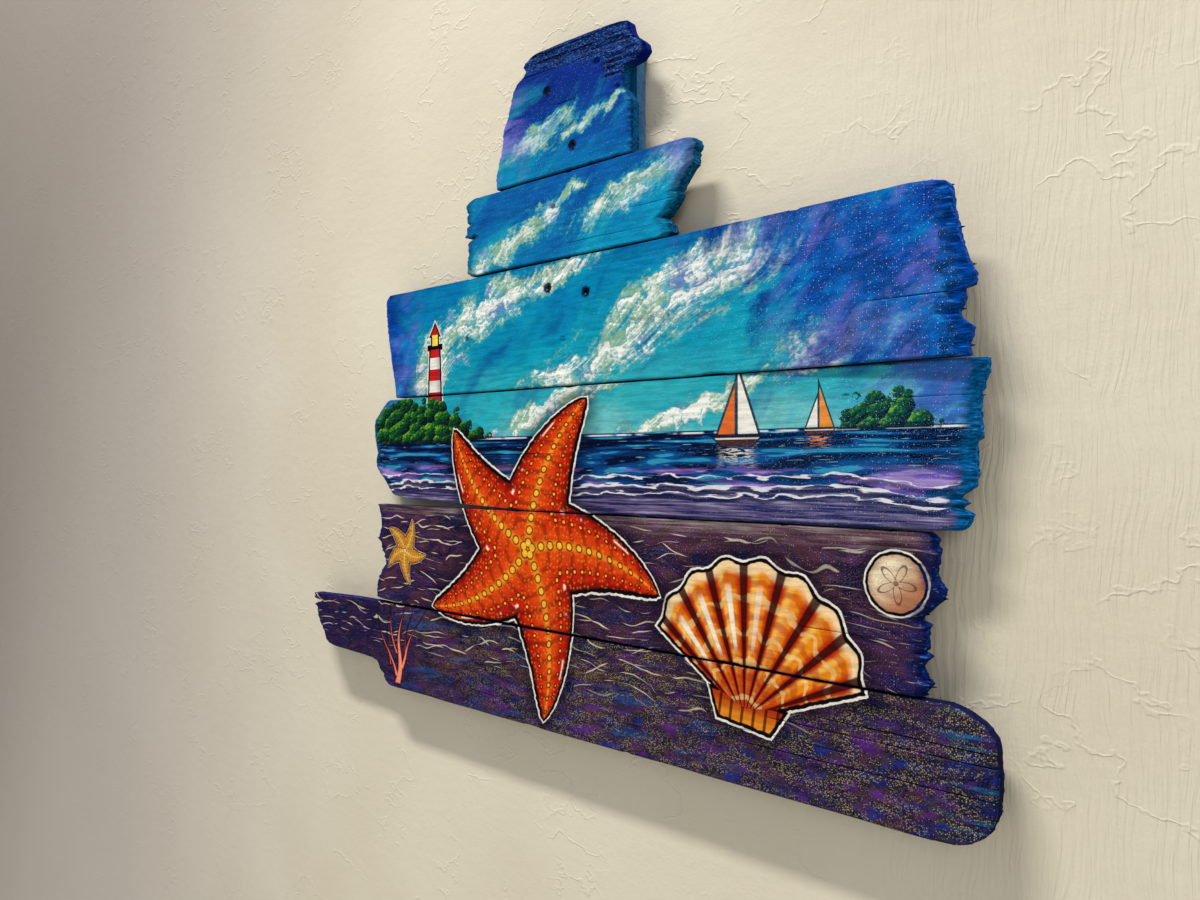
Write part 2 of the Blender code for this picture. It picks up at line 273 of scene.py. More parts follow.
def slab_faces(ids, wide):
    """Quads over the outside of a block of vertex ids, and where their corners lie on the bake map.

    The sides are the front, the rear, both long edges and both ends. Each has a strip of the map,
    by its lower edge and height. A wide front takes two. The ends are turned to lie along theirs.
    """
    sides = ((ids[:, :, 0], False, 0.01, 0.71), (ids[:, :, -1], True, 0.735, 0.12),
             (ids[0].T, True, 0.865, 0.03), (ids[-1].T, False, 0.905, 0.03),
             (ids[:, 0], True, 0.945, 0.045), (ids[:, -1], False, 0.945, 0.045))
    faces, places = [], []
    for number, (side, flip, low, tall) in enumerate(sides):
        v, u = np.meshgrid(*[np.linspace(0, 1, count) for count in side.shape], indexing="ij")
        corners = cells_of(np.stack([u, v], -1), flip).copy()
        u, v = corners[..., 0], corners[..., 1]
        if number == 0 and wide:
            columns = side.shape[1] - 1
            upper = (np.arange(columns) >= columns // 2)[None, :, None]
            split = (columns // 2) / columns
            u[...] = np.where(upper, (u - split) / (1 - split), u / split)
            v[...] = np.where(upper, 0.37, low) + 0.35 * v
        elif number < 4:
            v[...] = low + tall * v
        else:
            across = u.copy()
            u[...] = 0.52 * (number - 4) + 0.46 * v
            v[...] = low + tall * across
        u[...] = 0.005 + 0.99 * u
        faces += cells_of(side, flip).reshape(-1, 4).tolist()
        places.append(corners.reshape(-1, 2))
    return faces, np.concatenate(places)


class Slab:
    """One board as a dense mesh. The arrays hold a value for each vertex on its outside."""

    def __init__(self, name, seed):
        self.name, self.look, self.seed = name, BOARDS[name], seed
        self.outline = Outline(name)
        self.layout()
        self.shape()

    def noise(self, u, v, offset):
        """The board's own noise, from -1 to 1. Each kind of wear has an offset of its own."""
        return noise(u, v, self.seed + offset)

    def layout(self):
        """Spreads rows, columns and layers over the outline and the torn front face."""
        outline = self.outline
        shares, self.crack_of = rows_of(outline, self.look)
        left, right = (np.interp(shares, outline.shares, end)
                       for end in (outline.left, outline.right))
        low, high = left.min(), right.max()
        nominal = columns_of(low, high, self.look)
        x = nominal
        for gap, distance, side, most in ((left - low, nominal - low, 1, 0.55),
                                          (high - right, high - nominal, -1, 0.42)):
            reach = min(1.5 * gap.max() + 25, most * (high - low))
            x = x + side * gap[:, None] * np.clip(1 - distance / reach, 0, 1)
        size = (len(shares), len(nominal), len(LAYER_SHARES))
        outside = np.zeros(size, bool)
        outside[[0, -1]] = outside[:, [0, -1]] = outside[:, :, [0, -1]] = True
        self.ids = np.full(size, -1)
        self.ids[outside] = np.arange(outside.sum())
        self.row, column, layer = np.nonzero(outside)
        self.share, self.x = shares[self.row], x[self.row, column]
        self.layer = np.array(LAYER_SHARES)[layer]
        self.from_left, self.from_right = self.x - left[self.row], right[self.row] - self.x
        self.from_end = np.minimum(self.from_left, self.from_right)
        self.from_edge = np.minimum(self.share, 1 - self.share) * outline.height
        depths = np.zeros(size[:2])
        for side, distance in ((-1, x - left[:, None]), (1, right[:, None] - x)):
            for i, share in enumerate(shares):
                near = distance[i] < END_STEPS[-1]
                depths[i, near] = np.interp(distance[i, near], END_STEPS,
                                            outline.face_depths(share, side, END_STEPS))
        self.torn_depth = depths[self.row, column]

    def shape(self):
        """Places the vertices: rounded edges, wear, the sunk front face and broken ends."""
        outline, x, share = self.outline, self.x.copy(), self.share
        thickness = outline.back - outline.front
        sway = 1.1 * 4 * share * (1 - share) * self.noise(x / 85, share * 5, 1)
        z = outline.z_at(x, share) + sway
        depth = (thickness - self.torn_depth) * self.layer
        y = outline.front + self.torn_depth + depth
        behind = outline.back - y

        # Rounded edges: each vertex moves inwards as on a box with quarter-round edges.
        radius = self.look["round"] * (1 + 0.35 * self.noise(x / 45, np.sign(share - 0.5) * 3, 2))
        radius = np.where(self.from_end < 30, radius * 0.8, radius)
        near = [np.clip(1 - gap / radius, 0, 1)
                for gap in (self.from_end, np.minimum(depth, behind), self.from_edge)]
        length = np.maximum(np.sqrt(sum(part ** 2 for part in near)), 1)
        sides = [np.where(first, 1, -1)
                 for first in (self.from_left < self.from_right, depth < behind, share < 0.5)]
        x, y, z = (place + side * radius * part * (1 - 1 / length)
                   for place, side, part in zip((x, y, z), sides, near))
        side_x, _, side_z = sides

        # Worn long edges: slow waves and a few shallow chips.
        wave = 0.30 * (1 + self.noise(x / 60, side_z * 7, 3))
        chip = 1.3 * eased(self.noise(x / 17, side_z * 9, 4), 0.62, 0.95)
        chip *= np.clip(1 - depth / 7, 0, 1)
        z += side_z * np.clip(1 - self.from_edge / EDGE_REACH, 0, 1) * (wave + chip)

        # Weathered grain, cracks and knots sink the front face.
        grain, (ridges, self.crest_share) = self.grain(x, z), self.crest(x, z)
        (cracks, self.crack), (knots, self.knot) = self.cracks(x), self.knots(x, z)
        self.sunk = grain + ridges
        sunk = self.sunk + cracks + knots + self.torn(x, z)
        rear = 0.12 * (1 + self.noise(x / 150, z / 4, 40))
        y += np.clip(1 - depth / FACE_REACH, 0, 1) * sunk
        y -= np.clip(1 - behind / FACE_REACH, 0, 1) * rear

        # Broken fibres at the ends.
        rough = np.where(side_x > 0, *self.look["ends"])
        fibres = (1.1 * self.noise(z / 4.4 + 0.02 * x, y / 7, 5)
                  + 0.7 * self.noise(z / 2.1, y / 3.2, 6))
        x -= side_x * rough * fibres * np.clip(1 - self.from_end / END_REACH, 0, 1)

        self.depth = np.clip(y - outline.front, 0, thickness)
        self.points = np.stack([x, y - bow(self.name, x), z], 1)
        self.torn_near = np.clip(rough / 0.9, 0, 1) * (1 - eased(self.from_end, 4, 22))

    def grain(self, x, z):
        wander = z + 7 * self.noise(x / 260, z / 70, 10) + 1.6 * self.noise(x / 70, z / 18, 11)
        coarse = self.noise(x / 340, wander / 6.5, 12)
        groove = 1 - 2 * np.abs(self.noise(x / 210, wander / 4.2, 13))
        strength = 0.7 + 0.5 * self.noise(x / 120, z / 45, 14)
        return strength * (0.13 * coarse + 0.24 * np.maximum(groove - 0.25, 0) + 0.1)

    def crest(self, x, z):
        """The top board's worn crest: deep, sharp ridges of hard grain above the sound wood."""
        if self.name != "board_1":
            return np.zeros_like(x), np.zeros_like(x)
        wander = z + 0.05 * x + 2.0 * self.noise(x / 50, z / 18, 31)
        ridges = 1 - np.abs(self.noise(x / 48, wander / 2.9, 32)) * 2
        rough = self.noise(x / 7, z / 2.6, 33)
        crest = eased(z + 0.15 * x, 362, 368) + eased(x, 30, 44) * eased(z, 333, 337)
        crest = np.clip(crest, 0, 1)
        return crest * (1.2 - 1.0 * ridges + 0.35 * rough), crest

    def cracks(self, x):
        """How deep the cracks cut, in mm, and how much painted shade darkens them."""
        deep, dark = np.zeros_like(x), np.zeros_like(x)
        for row, crack in enumerate(self.crack_of):
            if crack is None:
                continue
            number, amount = crack
            start, end, _, depth = self.look["cracks"][number]
            here = self.row == row
            fade = (eased(x[here], start, start + CRACK_FADE)
                    * eased(x[here], end, end - CRACK_FADE))
            rough = 0.75 + 0.35 * self.noise(x[here] / 19, 0.5, number)
            open_share = fade * amount * rough
            deep[here] += depth * open_share
            # Painted shade: the deeper a crack cuts, the darker it is painted.
            dark[here] = open_share * min(1.0, depth / 1.3)
        return deep, dark

    def knots(self, x, z):
        """How deep the knots sink, in mm, and how dark they are."""
        deep, dark = np.zeros_like(x), np.zeros_like(x)
        for knot_x, knot_z, radius, depth in self.look["knots"]:
            away = np.hypot((x - knot_x) * 0.8, z - knot_z) / radius
            deep += depth * (1 - eased(away, 0.4, 1.0)) - 0.3 * np.exp(-(((away - 1.2) / 0.2) ** 2))
            dark = np.maximum(dark, 1 - eased(away, 0.75, 1.15))
        return deep, dark

    def torn(self, x, z):
        """Splintered slopes on the front face near a broken end."""
        ridges = 1 - 2 * np.abs(self.noise(x / 34, z / 4.6, 50))
        strength = np.where(self.torn_depth > 0.15, np.clip(self.torn_depth / 1.5, 0, 1), 0)
        return strength * (0.75 * ridges + 0.45 * self.noise(x / 12, z / 2.7, 51))

    def splinters(self, rng):
        """Thin slivers left standing at the torn ends: (points, faces, depths)."""
        points, faces, depths = [], [], []
        for side, sign, count in zip((0, -1), (-1, 1), self.look["splinters"]):
            face = self.ids[4:-4, side, 1:-1]
            for _ in range(count):
                root = self.points[face[rng.randrange(face.shape[0]), rng.randrange(face.shape[1])]]
                length = rng.uniform(1.6, 4.2)
                tilt_y, tilt_z = rng.uniform(-0.16, 0.16), rng.uniform(-0.12, 0.12)
                half_y, half_z = rng.uniform(0.7, 1.8), rng.uniform(0.6, 1.2)
                first = len(points)
                for along, width in ((-3.0, 1.0), (0.3 * length, 0.75), (0.75 * length, 0.4),
                                     (length, 0.05)):
                    x, y, z = root + np.array((sign, tilt_y, tilt_z)) * along
                    depth = max(2.5, y + float(bow(self.name, x)) - self.outline.front)
                    points += [(x, y + side_y * half_y * width, z + side_z * half_z * width)
                               for side_y, side_z in ((-1, -1), (1, -1), (1, 1), (-1, 1))]
                    depths += [depth] * 4
                last = len(points) - 4
                made = [tuple(range(first, first + 4)), tuple(range(last + 3, last - 1, -1))]
                for ring in range(first, last, 4):
                    made += [(ring + i, ring + 4 + i, ring + 4 + (i + 1) % 4, ring + (i + 1) % 4)
                             for i in range(4)]
                faces += [corners[::sign] for corners in made]
        return points, faces, depths


def add_slab(name, seed, finish):
    """Builds a board's mesh with its attributes and bake map."""
    slab = Slab(name, seed)
    faces, places = slab_faces(slab.ids, np.ptp(slab.x) > WIDE)
    extra, extra_faces, extra_depth = slab.splinters(random.Random(seed))
    points = np.concatenate([slab.points, np.reshape(extra, (-1, 3))])
    faces += [[len(slab.points) + i for i in face] for face in extra_faces]
    mesh = bpy.data.meshes.new(name + "_wood")
    mesh.from_pydata((points * MM).tolist(), [], faces)
    values = {"depth": (slab.depth, extra_depth), "torn": (slab.torn_near, 1),
              "edge": (np.minimum(slab.from_end, slab.from_edge), 0),
              "groove": (slab.sunk, 0), "crack": (slab.crack, 0), "crest": (slab.crest_share, 0),
              "knot": (slab.knot, 0)}
    for key, (numbers, spare) in values.items():
        numbers = np.append(numbers, np.resize(spare, len(extra)))
        mesh.attributes.new(key, "FLOAT", "POINT").data.foreach_set("value", numbers)
    corners = [[0.5, 0.968], [0.508, 0.968], [0.508, 0.978], [0.5, 0.978]]
    places = np.concatenate([places, np.resize(corners, (4 * len(extra_faces), 2))])
    mesh.uv_layers.new(name=BAKE_MAP).data.foreach_set("uv", places.ravel())
    mesh.shade_smooth()
    mesh.set_sharp_from_angle(angle=math.radians(62))
    mesh.update()
    return linked(name + "_wood", mesh, finish)


# ---------------------------------------------------------------- materials drawn up in code

def rgb(red, green, blue):
    """Linear light from screen values of 0 to 255."""
    screen = [value / 255 for value in (red, green, blue)]
    return (*[((v + 0.055) / 1.055) ** 2.4 if v > 0.04045 else v / 12.92 for v in screen], 1.0)


def darker(color, share):
    """A colour at a share of its screen values."""
    return tuple(value * share for value in color)


class Field:
    """A number or colour that flows through a material's nodes."""

    def __init__(self, graph, socket):
        self.graph, self.socket = graph, socket

    def __add__(self, other):
        return self.graph.math("ADD", self, other)

    def __sub__(self, other):
        return self.graph.math("SUBTRACT", self, other)

    def __rsub__(self, other):
        return self.graph.math("SUBTRACT", other, self)

    def __mul__(self, other):
        return self.graph.math("MULTIPLY", self, other)

    def __truediv__(self, other):
        return self.graph.math("DIVIDE", self, other)

    def __abs__(self):
        return self.graph.math("ABSOLUTE", self)


class Graph:
    """One material's node tree. Its x, y and z are the object's own, in millimetres.

    A colour is a field, or (red, green, blue) as screen values of 0 to 255.
    """

    def __init__(self, name, roughness=0.45, metallic=0.0, specular=0.5):
        self.material = bpy.data.materials.new(name)
        self.material.use_nodes = True
        self.tree = self.material.node_tree
        self.shader = self.tree.nodes["Principled BSDF"]
        for key, value in (("Roughness", roughness), ("Metallic", metallic),
                           ("Specular IOR Level", specular)):
            self.shader.inputs[key].default_value = value
        scaled = self.node("ShaderNodeVectorMath", operation="SCALE")
        scaled.inputs["Scale"].default_value = 1 / MM
        self.tree.links.new(self.node("ShaderNodeTexCoord").outputs["Object"], scaled.inputs[0])
        self.x, self.y, self.z = self.split("XYZ", scaled.outputs[0])

    def node(self, kind, **settings):
        made = self.tree.nodes.new(kind)
        for key, value in settings.items():
            setattr(made, key, value)
        return made

    def feed(self, socket, value):
        if isinstance(value, Field):
            self.tree.links.new(value.socket, socket)
        else:
            socket.default_value = rgb(*value) if isinstance(value, tuple) else value

    def split(self, kind, socket):
        made = self.node("ShaderNodeSeparate" + kind)
        self.tree.links.new(socket, made.inputs[0])
        return [Field(self, part) for part in made.outputs]

    def math(self, operation, *values):
        made = self.node("ShaderNodeMath", operation=operation)
        for socket, value in zip(made.inputs, values):
            self.feed(socket, value)
        return Field(self, made.outputs[0])

    def most(self, first, *others):
        for other in others:
            first = self.math("MAXIMUM", first, other)
        return first

    def least(self, first, *others):
        for other in others:
            first = self.math("MINIMUM", first, other)
        return first

    def line(self, value, factor, offset):
        return self.math("MULTIPLY_ADD", value, factor, offset)

    def length(self, u, v):
        return self.math("SQRT", self.line(u, u, v * v))

    def smooth(self, value, start, end):
        """0 at start, 1 at end, and eased between them. The two may come in either order."""
        made = self.node("ShaderNodeMapRange", interpolation_type="SMOOTHSTEP")
        for key, number in (("Value", value), ("From Min", start), ("From Max", end)):
            self.feed(made.inputs[key], number)
        return Field(self, made.outputs["Result"])

    def band(self, value, start, end, soft):
        """1 between start and end, with soft sides."""
        return self.least(self.smooth(value, start - soft, start + soft),
                          self.smooth(value, end + soft, end - soft))

    def mix(self, share, under, over):
        made = self.node("ShaderNodeMix", data_type="RGBA")
        for number, value in ((0, share), (6, under), (7, over)):
            self.feed(made.inputs[number], value)
        return Field(self, made.outputs[2])

    def blend(self, value, start, end, under, over):
        """One colour where the value is at start and another where it is at end."""
        return self.mix(self.smooth(value, start, end), under, over)

    def coats(self, under, *coats):
        """Lays coats over a colour: (value, start, end, share, colour). They are full at end."""
        for value, start, end, share, over in coats:
            cover = self.smooth(value, start, end)
            under = self.mix(cover if share == 1 else cover * share, under, over)
        return under

    def ramp(self, share, stops):
        """A colour ramp from (place, colour) stops."""
        made = self.node("ShaderNodeValToRGB")
        elements = made.color_ramp.elements
        for _ in range(len(stops) - 2):
            elements.new(0.5)
        for element, (place, color) in zip(elements, stops):
            element.position = place
            element.color = rgb(*color)
        self.feed(made.inputs[0], share)
        return Field(self, made.outputs[0])

    def texture(self, kind, spot, **settings):
        """A texture node, in mm, at a spot of two or three numbers."""
        made, place = self.node(kind, **settings), self.node("ShaderNodeCombineXYZ")
        for socket, value in zip(place.inputs, spot):
            self.feed(socket, value)
        self.tree.links.new(place.outputs[0], made.inputs["Vector"])
        made.inputs["Scale"].default_value = 1.0
        return made

    def noise(self, *spot, detail=2.0, rough=0.5):
        """Cloudy noise about 0.5."""
        made = self.texture("ShaderNodeTexNoise", spot, noise_dimensions=f"{len(spot)}D")
        made.inputs["Detail"].default_value = detail
        made.inputs["Roughness"].default_value = rough
        return Field(self, made.outputs[0])

    def spots(self, wide, tall, **settings):
        """Noise across the picture, of a size in mm along X and Z."""
        return self.noise(self.x / wide, self.z / tall, **settings)

    def grain(self, wide, deep, tall, **settings):
        """Noise in all three directions, for surfaces that turn out of the picture's plane."""
        return self.noise(self.x / wide, self.y / deep, self.z / tall, **settings)

    def voronoi(self, u, v):
        made = self.texture("ShaderNodeTexVoronoi", (u, v), voronoi_dimensions="2D", feature="F1")
        return Field(self, made.outputs["Distance"]), made.outputs

    def cells(self, u, v):
        """Distance to the nearest cell's middle, and a random number for each cell."""
        distance, outputs = self.voronoi(u, v)
        return distance, self.split("Color", outputs["Color"])[0]

    def domes(self, u, v):
        """Rounded lumps: their height, 1 at the middle, and how far a spot is to the upper left."""
        distance, outputs = self.voronoi(u, v)
        middle_u, middle_v, _ = self.split("XYZ", outputs["Position"])
        return 1 - distance, (v - middle_v) * 0.8 - (u - middle_u) * 0.6

    def attribute(self, name):
        return Field(self, self.node("ShaderNodeAttribute", attribute_name=name).outputs["Fac"])

    def finish(self, color, roughness=None, height=None, metallic=None):
        """Joins the colour and the rest to the shader. The height is in millimetres."""
        for key, value in (("Base Color", color), ("Roughness", roughness), ("Metallic", metallic)):
            if value is not None:
                self.feed(self.shader.inputs[key], value)
        if height is not None:
            bump = self.node("ShaderNodeBump")
            for key, value in (("Strength", 1.0), ("Distance", 1.0), ("Height", height * MM)):
                self.feed(bump.inputs[key], value)
            self.tree.links.new(bump.outputs[0], self.shader.inputs["Normal"])
        return self.material


# ---------------------------------------------------------------- the picture on the boards

SKY = ((0.0, (132, 206, 202)), (0.09, (52, 180, 190)), (0.22, (6, 150, 182)), (0.38, (0, 126, 180)),
       (0.54, (0, 108, 174)), (0.70, (0, 88, 168)), (0.84, (0, 54, 146)), (1.0, (0, 18, 96)))
COBALT = ((0.30, (0, 130, 200)), (0.42, (0, 92, 186)), (0.54, (0, 58, 160)), (0.66, (0, 30, 124)))
SAND = ((0.32, (2, 10, 52)), (0.42, (14, 14, 60)), (0.49, (62, 28, 66)), (0.56, (98, 54, 60)),
        (0.65, (84, 38, 92)), (0.76, (20, 24, 96)))
CORAL_RED = {"edge": (112, 10, 6), "flesh": (204, 34, 8), "light": (240, 84, 16),
             "ridge": (252, 156, 44), "dot": (250, 200, 56)}
GOLD = {"edge": (130, 62, 8), "flesh": (206, 128, 16), "light": (240, 172, 34),
        "ridge": (252, 214, 96), "dot": (255, 240, 190)}
INK, CHALK, SHADE = (16, 6, 10), (242, 238, 226), (6, 4, 22)
HORIZON = -53.0
# Motifs: X and Z in mm, the size in mm, then the turn in degrees, the curl and the palette.
BEACON = (-258, -18, 112)
BIG_STAR = ((-82, -186), 196, 14, 0.42, CORAL_RED)
SHELL = ((214, -326), 148, 82)
SHELL_RIBS = 22.0


def sky(g):
    """Deep blue overhead and pale turquoise at the horizon, brushed on softly up to the right."""
    sway = (g.spots(190, 140, detail=1) - 0.5) * 84
    g.along = g.line(g.x, 0.82, g.z * 0.57 + sway * 0.5)
    g.across = g.line(g.z, 0.82, g.x * -0.57 + sway)
    g.wisp = g.noise(g.along / 74, g.across / 17, detail=5, rough=0.60)
    g.brush = g.noise(g.along / 30, g.across / 2.2, detail=3)
    drift = g.spots(150, 80)
    color = g.ramp((g.z + (drift - 0.5) * 120 + (g.brush - 0.5) * 14 + 60) / 455, SKY)
    broad = g.noise(g.along / 120 + 4, g.across / 46, detail=3)
    return g.coats(color, (broad, 0.50, 0.72, 0.50, (16, 176, 196)),
                   (broad, 0.46, 0.26, 0.60, (0, 56, 144)))


def clouds(g, color, puffs, sunlit=1.0):
    """Heaped clouds round each puff of (X, Z, half width, half height), with dry wisps and dabs."""
    across = g.x + (g.spots(26, 26, detail=3) - 0.5) * 34
    up = g.z + (g.noise(g.x / 26 + 7, g.z / 26 + 3, detail=3) - 0.5) * 30
    body = -9.0
    for x, z, half_width, half_height in puffs:
        u = g.line(across, 1 / half_width, -x / half_width)
        v = (up + (across * -0.30 + (0.30 * x - z))) / half_height
        body = g.most(1 - g.line(u, u, v * v), body)
    big, big_lit = g.domes(across / 30, up / 24)
    small, small_lit = g.domes(across / 11 + 3.3, up / 10)
    dabs = g.noise(g.x / 5.2 + g.z / 30, g.z / 3.6, detail=4, rough=0.72) - 0.5
    dense = (body * 0.62 + (big * 0.9 + small * 0.45) * 0.75 + (g.wisp - 0.5) * 2.9 - 0.66
             + dabs * 1.1)
    dry = (g.brush - 0.5) * 0.8 + dabs * 0.7
    warm = g.noise(g.x / 60 + 30, g.z / 40, detail=3)
    mass = g.coats(g.blend(warm, 0.42, 0.58, (96, 176, 192), (150, 188, 148)),
                   (warm, 0.40, 0.30, 0.75, (128, 120, 204)),
                   (g.brush, 0.56, 0.72, 0.6, (196, 210, 168)))
    lit = big_lit * 0.75 + small_lit * 0.45 + dense * 0.50 + dry * 1.2
    return g.coats(
        color,
        (dense + dry, -1.2, 0.0, 0.60, (20, 164, 180)),
        (dense + dry, -0.46, 0.20, 0.84, mass),
        (lit, -0.20, 0.40, g.smooth(dense, -0.34, 0.16) * (0.72 * sunlit), (204, 228, 218)),
        (lit, 0.18, 0.62, g.smooth(dense, -0.10, 0.26) * (0.98 * sunlit), (254, 254, 246)))


def dusk(g, color, left, right, pale=0.0):
    """Cobalt with lilac wisps and turquoise light towards both ends of a board."""
    cover = g.noise(g.along / 60 + 3, g.across / 34, detail=5, rough=0.62)
    slant = g.x + (cover - 0.5) * 190
    side = g.most(g.smooth(slant + g.z * 0.3, left + 150, left + 20),
                  g.smooth(slant + g.z * 0.8, right - 230, right - 10))
    deep = g.mix(pale, g.ramp(cover + (g.brush - 0.5) * 0.22, COBALT), (66, 122, 216))
    haze = g.noise(g.along / 66 + 8, g.across / 34, detail=5, rough=0.62)
    return g.coats(color, (side + (cover - 0.5) * 0.8, 0.16, 0.80, 0.92, deep),
                   (haze + (g.brush - 0.5) * 0.24, 0.50, 0.70, side * 0.62, (104, 104, 200)))


def bare_strip(g, color, start, slope, tint):
    """The end of a board past the picture's ragged edge, left in its first coat."""
    edge = g.x + g.z * slope + (g.spots(40, 17, detail=4, rough=0.6) - 0.5) * 40
    coat = g.blend(g.spots(12, 5, detail=3), 0.36, 0.64, darker(tint, 0.5), tint)
    return g.coats(color, (edge, start - 2.0, start + 2.0, 0.92, coat))


def sea(g, color):
    """Dark swell with turquoise lights and lilac near the shore."""
    spread = g.most(g.line(g.z, -0.028, -0.9), 0.5)
    swell = g.noise(g.x / 74, g.z / 4.4 / spread, detail=1)
    near = g.smooth(g.z, -84, -98)
    roll = g.noise(g.x / 84 + 20, g.z / 3.0 / spread + 9, detail=3)
    glint = g.noise(g.x / 26, g.z / 1.6 + 40, detail=1)
    rim = g.smooth(g.noise(g.x / 30, 0.7), 0.40, 0.52)
    water = g.coats(
        g.blend(g.z, HORIZON, HORIZON - 46, (2, 10, 58), (6, 62, 124)),
        (swell, 0.54, 0.58, 0.75, (4, 84, 150)),
        (swell, 0.64, 0.68, 0.8, (50, 160, 196)),
        (swell, 0.46, 0.43, 0.9, (0, 4, 34)),
        (roll, 0.50, 0.57, near * 0.85, (128, 88, 190)),
        (roll, 0.60, 0.66, near * 0.70, (186, 160, 216)),
        (glint, 0.72, 0.77, 0.6, (150, 206, 226)),
        (abs(g.z - (HORIZON - 2.2)), 1.3, 0.5, rim, (226, 232, 240)))
    return g.blend(g.z, HORIZON + 0.6, HORIZON - 0.6, color, water)


def surf(g, color):
    """Wet sand with rolls of foam and dark undertow over it."""
    shore = g.z + g.noise(g.x / 75, 0.5) * 22
    streak = g.spots(70, 2.6, detail=4, rough=0.6)
    wet = g.coats(g.blend(streak, 0.38, 0.62, (34, 34, 90), (120, 104, 140)),
                  (streak, 0.60, 0.70, 0.7, (176, 172, 204)))
    color = g.blend(shore, -96, -100, color, wet)
    lace = g.spots(30, 5.0, detail=3)
    for level, thick in ((-98, 2.0), (-106, 1.2), (-88, 1.0)):
        gap = abs(shore - level + (lace - 0.5) * 9)
        thin = g.smooth(g.noise(g.x / 44 + level, 0.9, detail=1), 0.34, 0.56) * thick + 0.2
        under = g.band(shore - level, -thick - 4.5, -thick, 1.2)
        color = g.mix(under * 0.7, color, (8, 14, 56))
        color = g.coats(color, (gap, thin, thin * 0.4, 0.95, (238, 236, 240)))
    return color


def trees(g, color, top, bottom):
    """A wooded shore below the line top and above the line bottom."""
    leaf = g.spots(4.2, 3.6, detail=4, rough=0.68)
    crown, lit = g.domes(g.x / 17 + leaf * 0.7, g.z / 14 + leaf * 0.7)
    tuft, tuft_lit = g.domes(g.x / 4.4 + leaf, g.z / 3.8)
    inside = g.least(top - g.z + (crown - 0.5) * 26 + (leaf - 0.5) * 18, g.z - bottom)
    light = lit * 0.95 + tuft_lit * 0.40 + (leaf - 0.5) * 1.3
    green = g.coats(g.blend(light, -0.42, 0.10, (3, 18, 20), (10, 74, 26)),
                    (light, 0.10, 0.42, 0.85, (44, 128, 20)),
                    (light + tuft * 0.2, 0.52, 0.80, 0.85, (132, 186, 30)),
                    (g.z - bottom, 9, 1, 0.85, (3, 14, 20)))
    return g.blend(inside, -0.5, 1.0, color, green)


def lighthouse(g, color):
    """A white tower with red bands, a dark gallery and a lit lantern, outlined in dark blue."""
    x, z, size = BEACON
    u, v = g.line(g.x, 1 / size, -x / size), g.line(g.z, 1 / size, -z / size)
    u = u + (g.spots(9, 9) - 0.5) * 0.012
    tower = g.least(g.line(v, -0.045, 0.125) - abs(u), v, 0.74 - v)
    roof = g.least((1.03 - v) * 0.62 - abs(u), v - 0.89)
    lamp = g.least(0.062 - abs(u), v - 0.76, 0.92 - v)
    gallery = g.least(0.125 - abs(u), v - 0.735, 0.775 - v)
    whole = g.most(tower, roof, lamp, gallery)
    band = g.math("FRACT", v / 0.27 + 0.15)
    wall = g.coats(g.blend(band, 0.49, 0.51, (244, 242, 232), (206, 30, 16)),
                   (u, -0.01, 0.11, 0.5, (86, 50, 110)))
    return g.coats(color, (whole, -0.036, -0.026, 1, CHALK), (whole, -0.020, -0.012, 1, INK),
                   (tower, 0.006, 0.014, 1, wall), (lamp, 0.006, 0.014, 1, (255, 222, 86)),
                   (roof, 0.006, 0.014, 1, (196, 30, 16)), (gallery, -0.004, 0.004, 1, INK))


def sailboat(g, color, place, size, sail, jib):
    """A small boat under two sails, with its glimmer on the water."""
    u, v = ((part - middle) / size for part, middle in zip((g.x, g.z), place))
    wake = g.band(g.spots(9, 1.6), 0.50, 0.7, 0.02)
    glimmer = g.least(g.smooth(v, 0.0, -0.05), g.smooth(v, -0.46, -0.10),
                      g.smooth(abs(u), 0.42, 0.12))
    color = g.mix(glimmer * wake * 0.8, color, sail)
    main = g.least(u - 0.02, 0.40 - u - (v - 0.14) * 0.36, v - 0.14)
    fore = g.least(-0.03 - u, u + 0.36 - (v - 0.14) * 0.42, v - 0.14)
    hull = g.least(0.10 - v, v + 0.04, 0.44 - abs(u) - (0.10 - v) * 1.1)
    color = g.coats(color, (g.most(main, fore, hull), -0.05, -0.035, 0.9, (8, 10, 34)),
                    (main, 0.0, 0.012, 1, sail), (fore, 0.0, 0.012, 1, jib),
                    (hull, 0.0, 0.012, 1, (74, 34, 22)))
    rail = g.least(g.smooth(hull, 0.0, 0.012), g.band(v, 0.06, 0.085, 0.008))
    return g.mix(rail, color, (236, 226, 200))


def sand(g, shift):
    """Navy, purple and brown sand in loose patches, dragged along the boards, with dark grit."""
    bend = g.z + (g.noise(g.x / 90 + shift, g.z / 60, detail=1) - 0.5) * 50
    patch = g.noise(g.x / 84 + shift, bend / 24, detail=6, rough=0.66)
    tint = g.noise(g.x / 62 + shift + 9, bend / 17, detail=5, rough=0.66)
    drag = g.noise(g.x / 46, bend / 2.0, detail=5, rough=0.66)
    grit = g.spots(1.9, 1.2, detail=3, rough=0.7)
    return g.coats(
        g.ramp(patch, SAND),
        (tint, 0.53, 0.64, 0.65, (88, 30, 124)), (tint, 0.46, 0.38, 0.75, (2, 36, 108)),
        (drag, 0.52, 0.68, 0.34, (132, 92, 104)), (drag, 0.50, 0.37, 0.70, (2, 4, 30)),
        (grit, 0.52, 0.36, 0.72, (2, 4, 26)), (grit, 0.60, 0.76, 0.34, (164, 142, 122)))


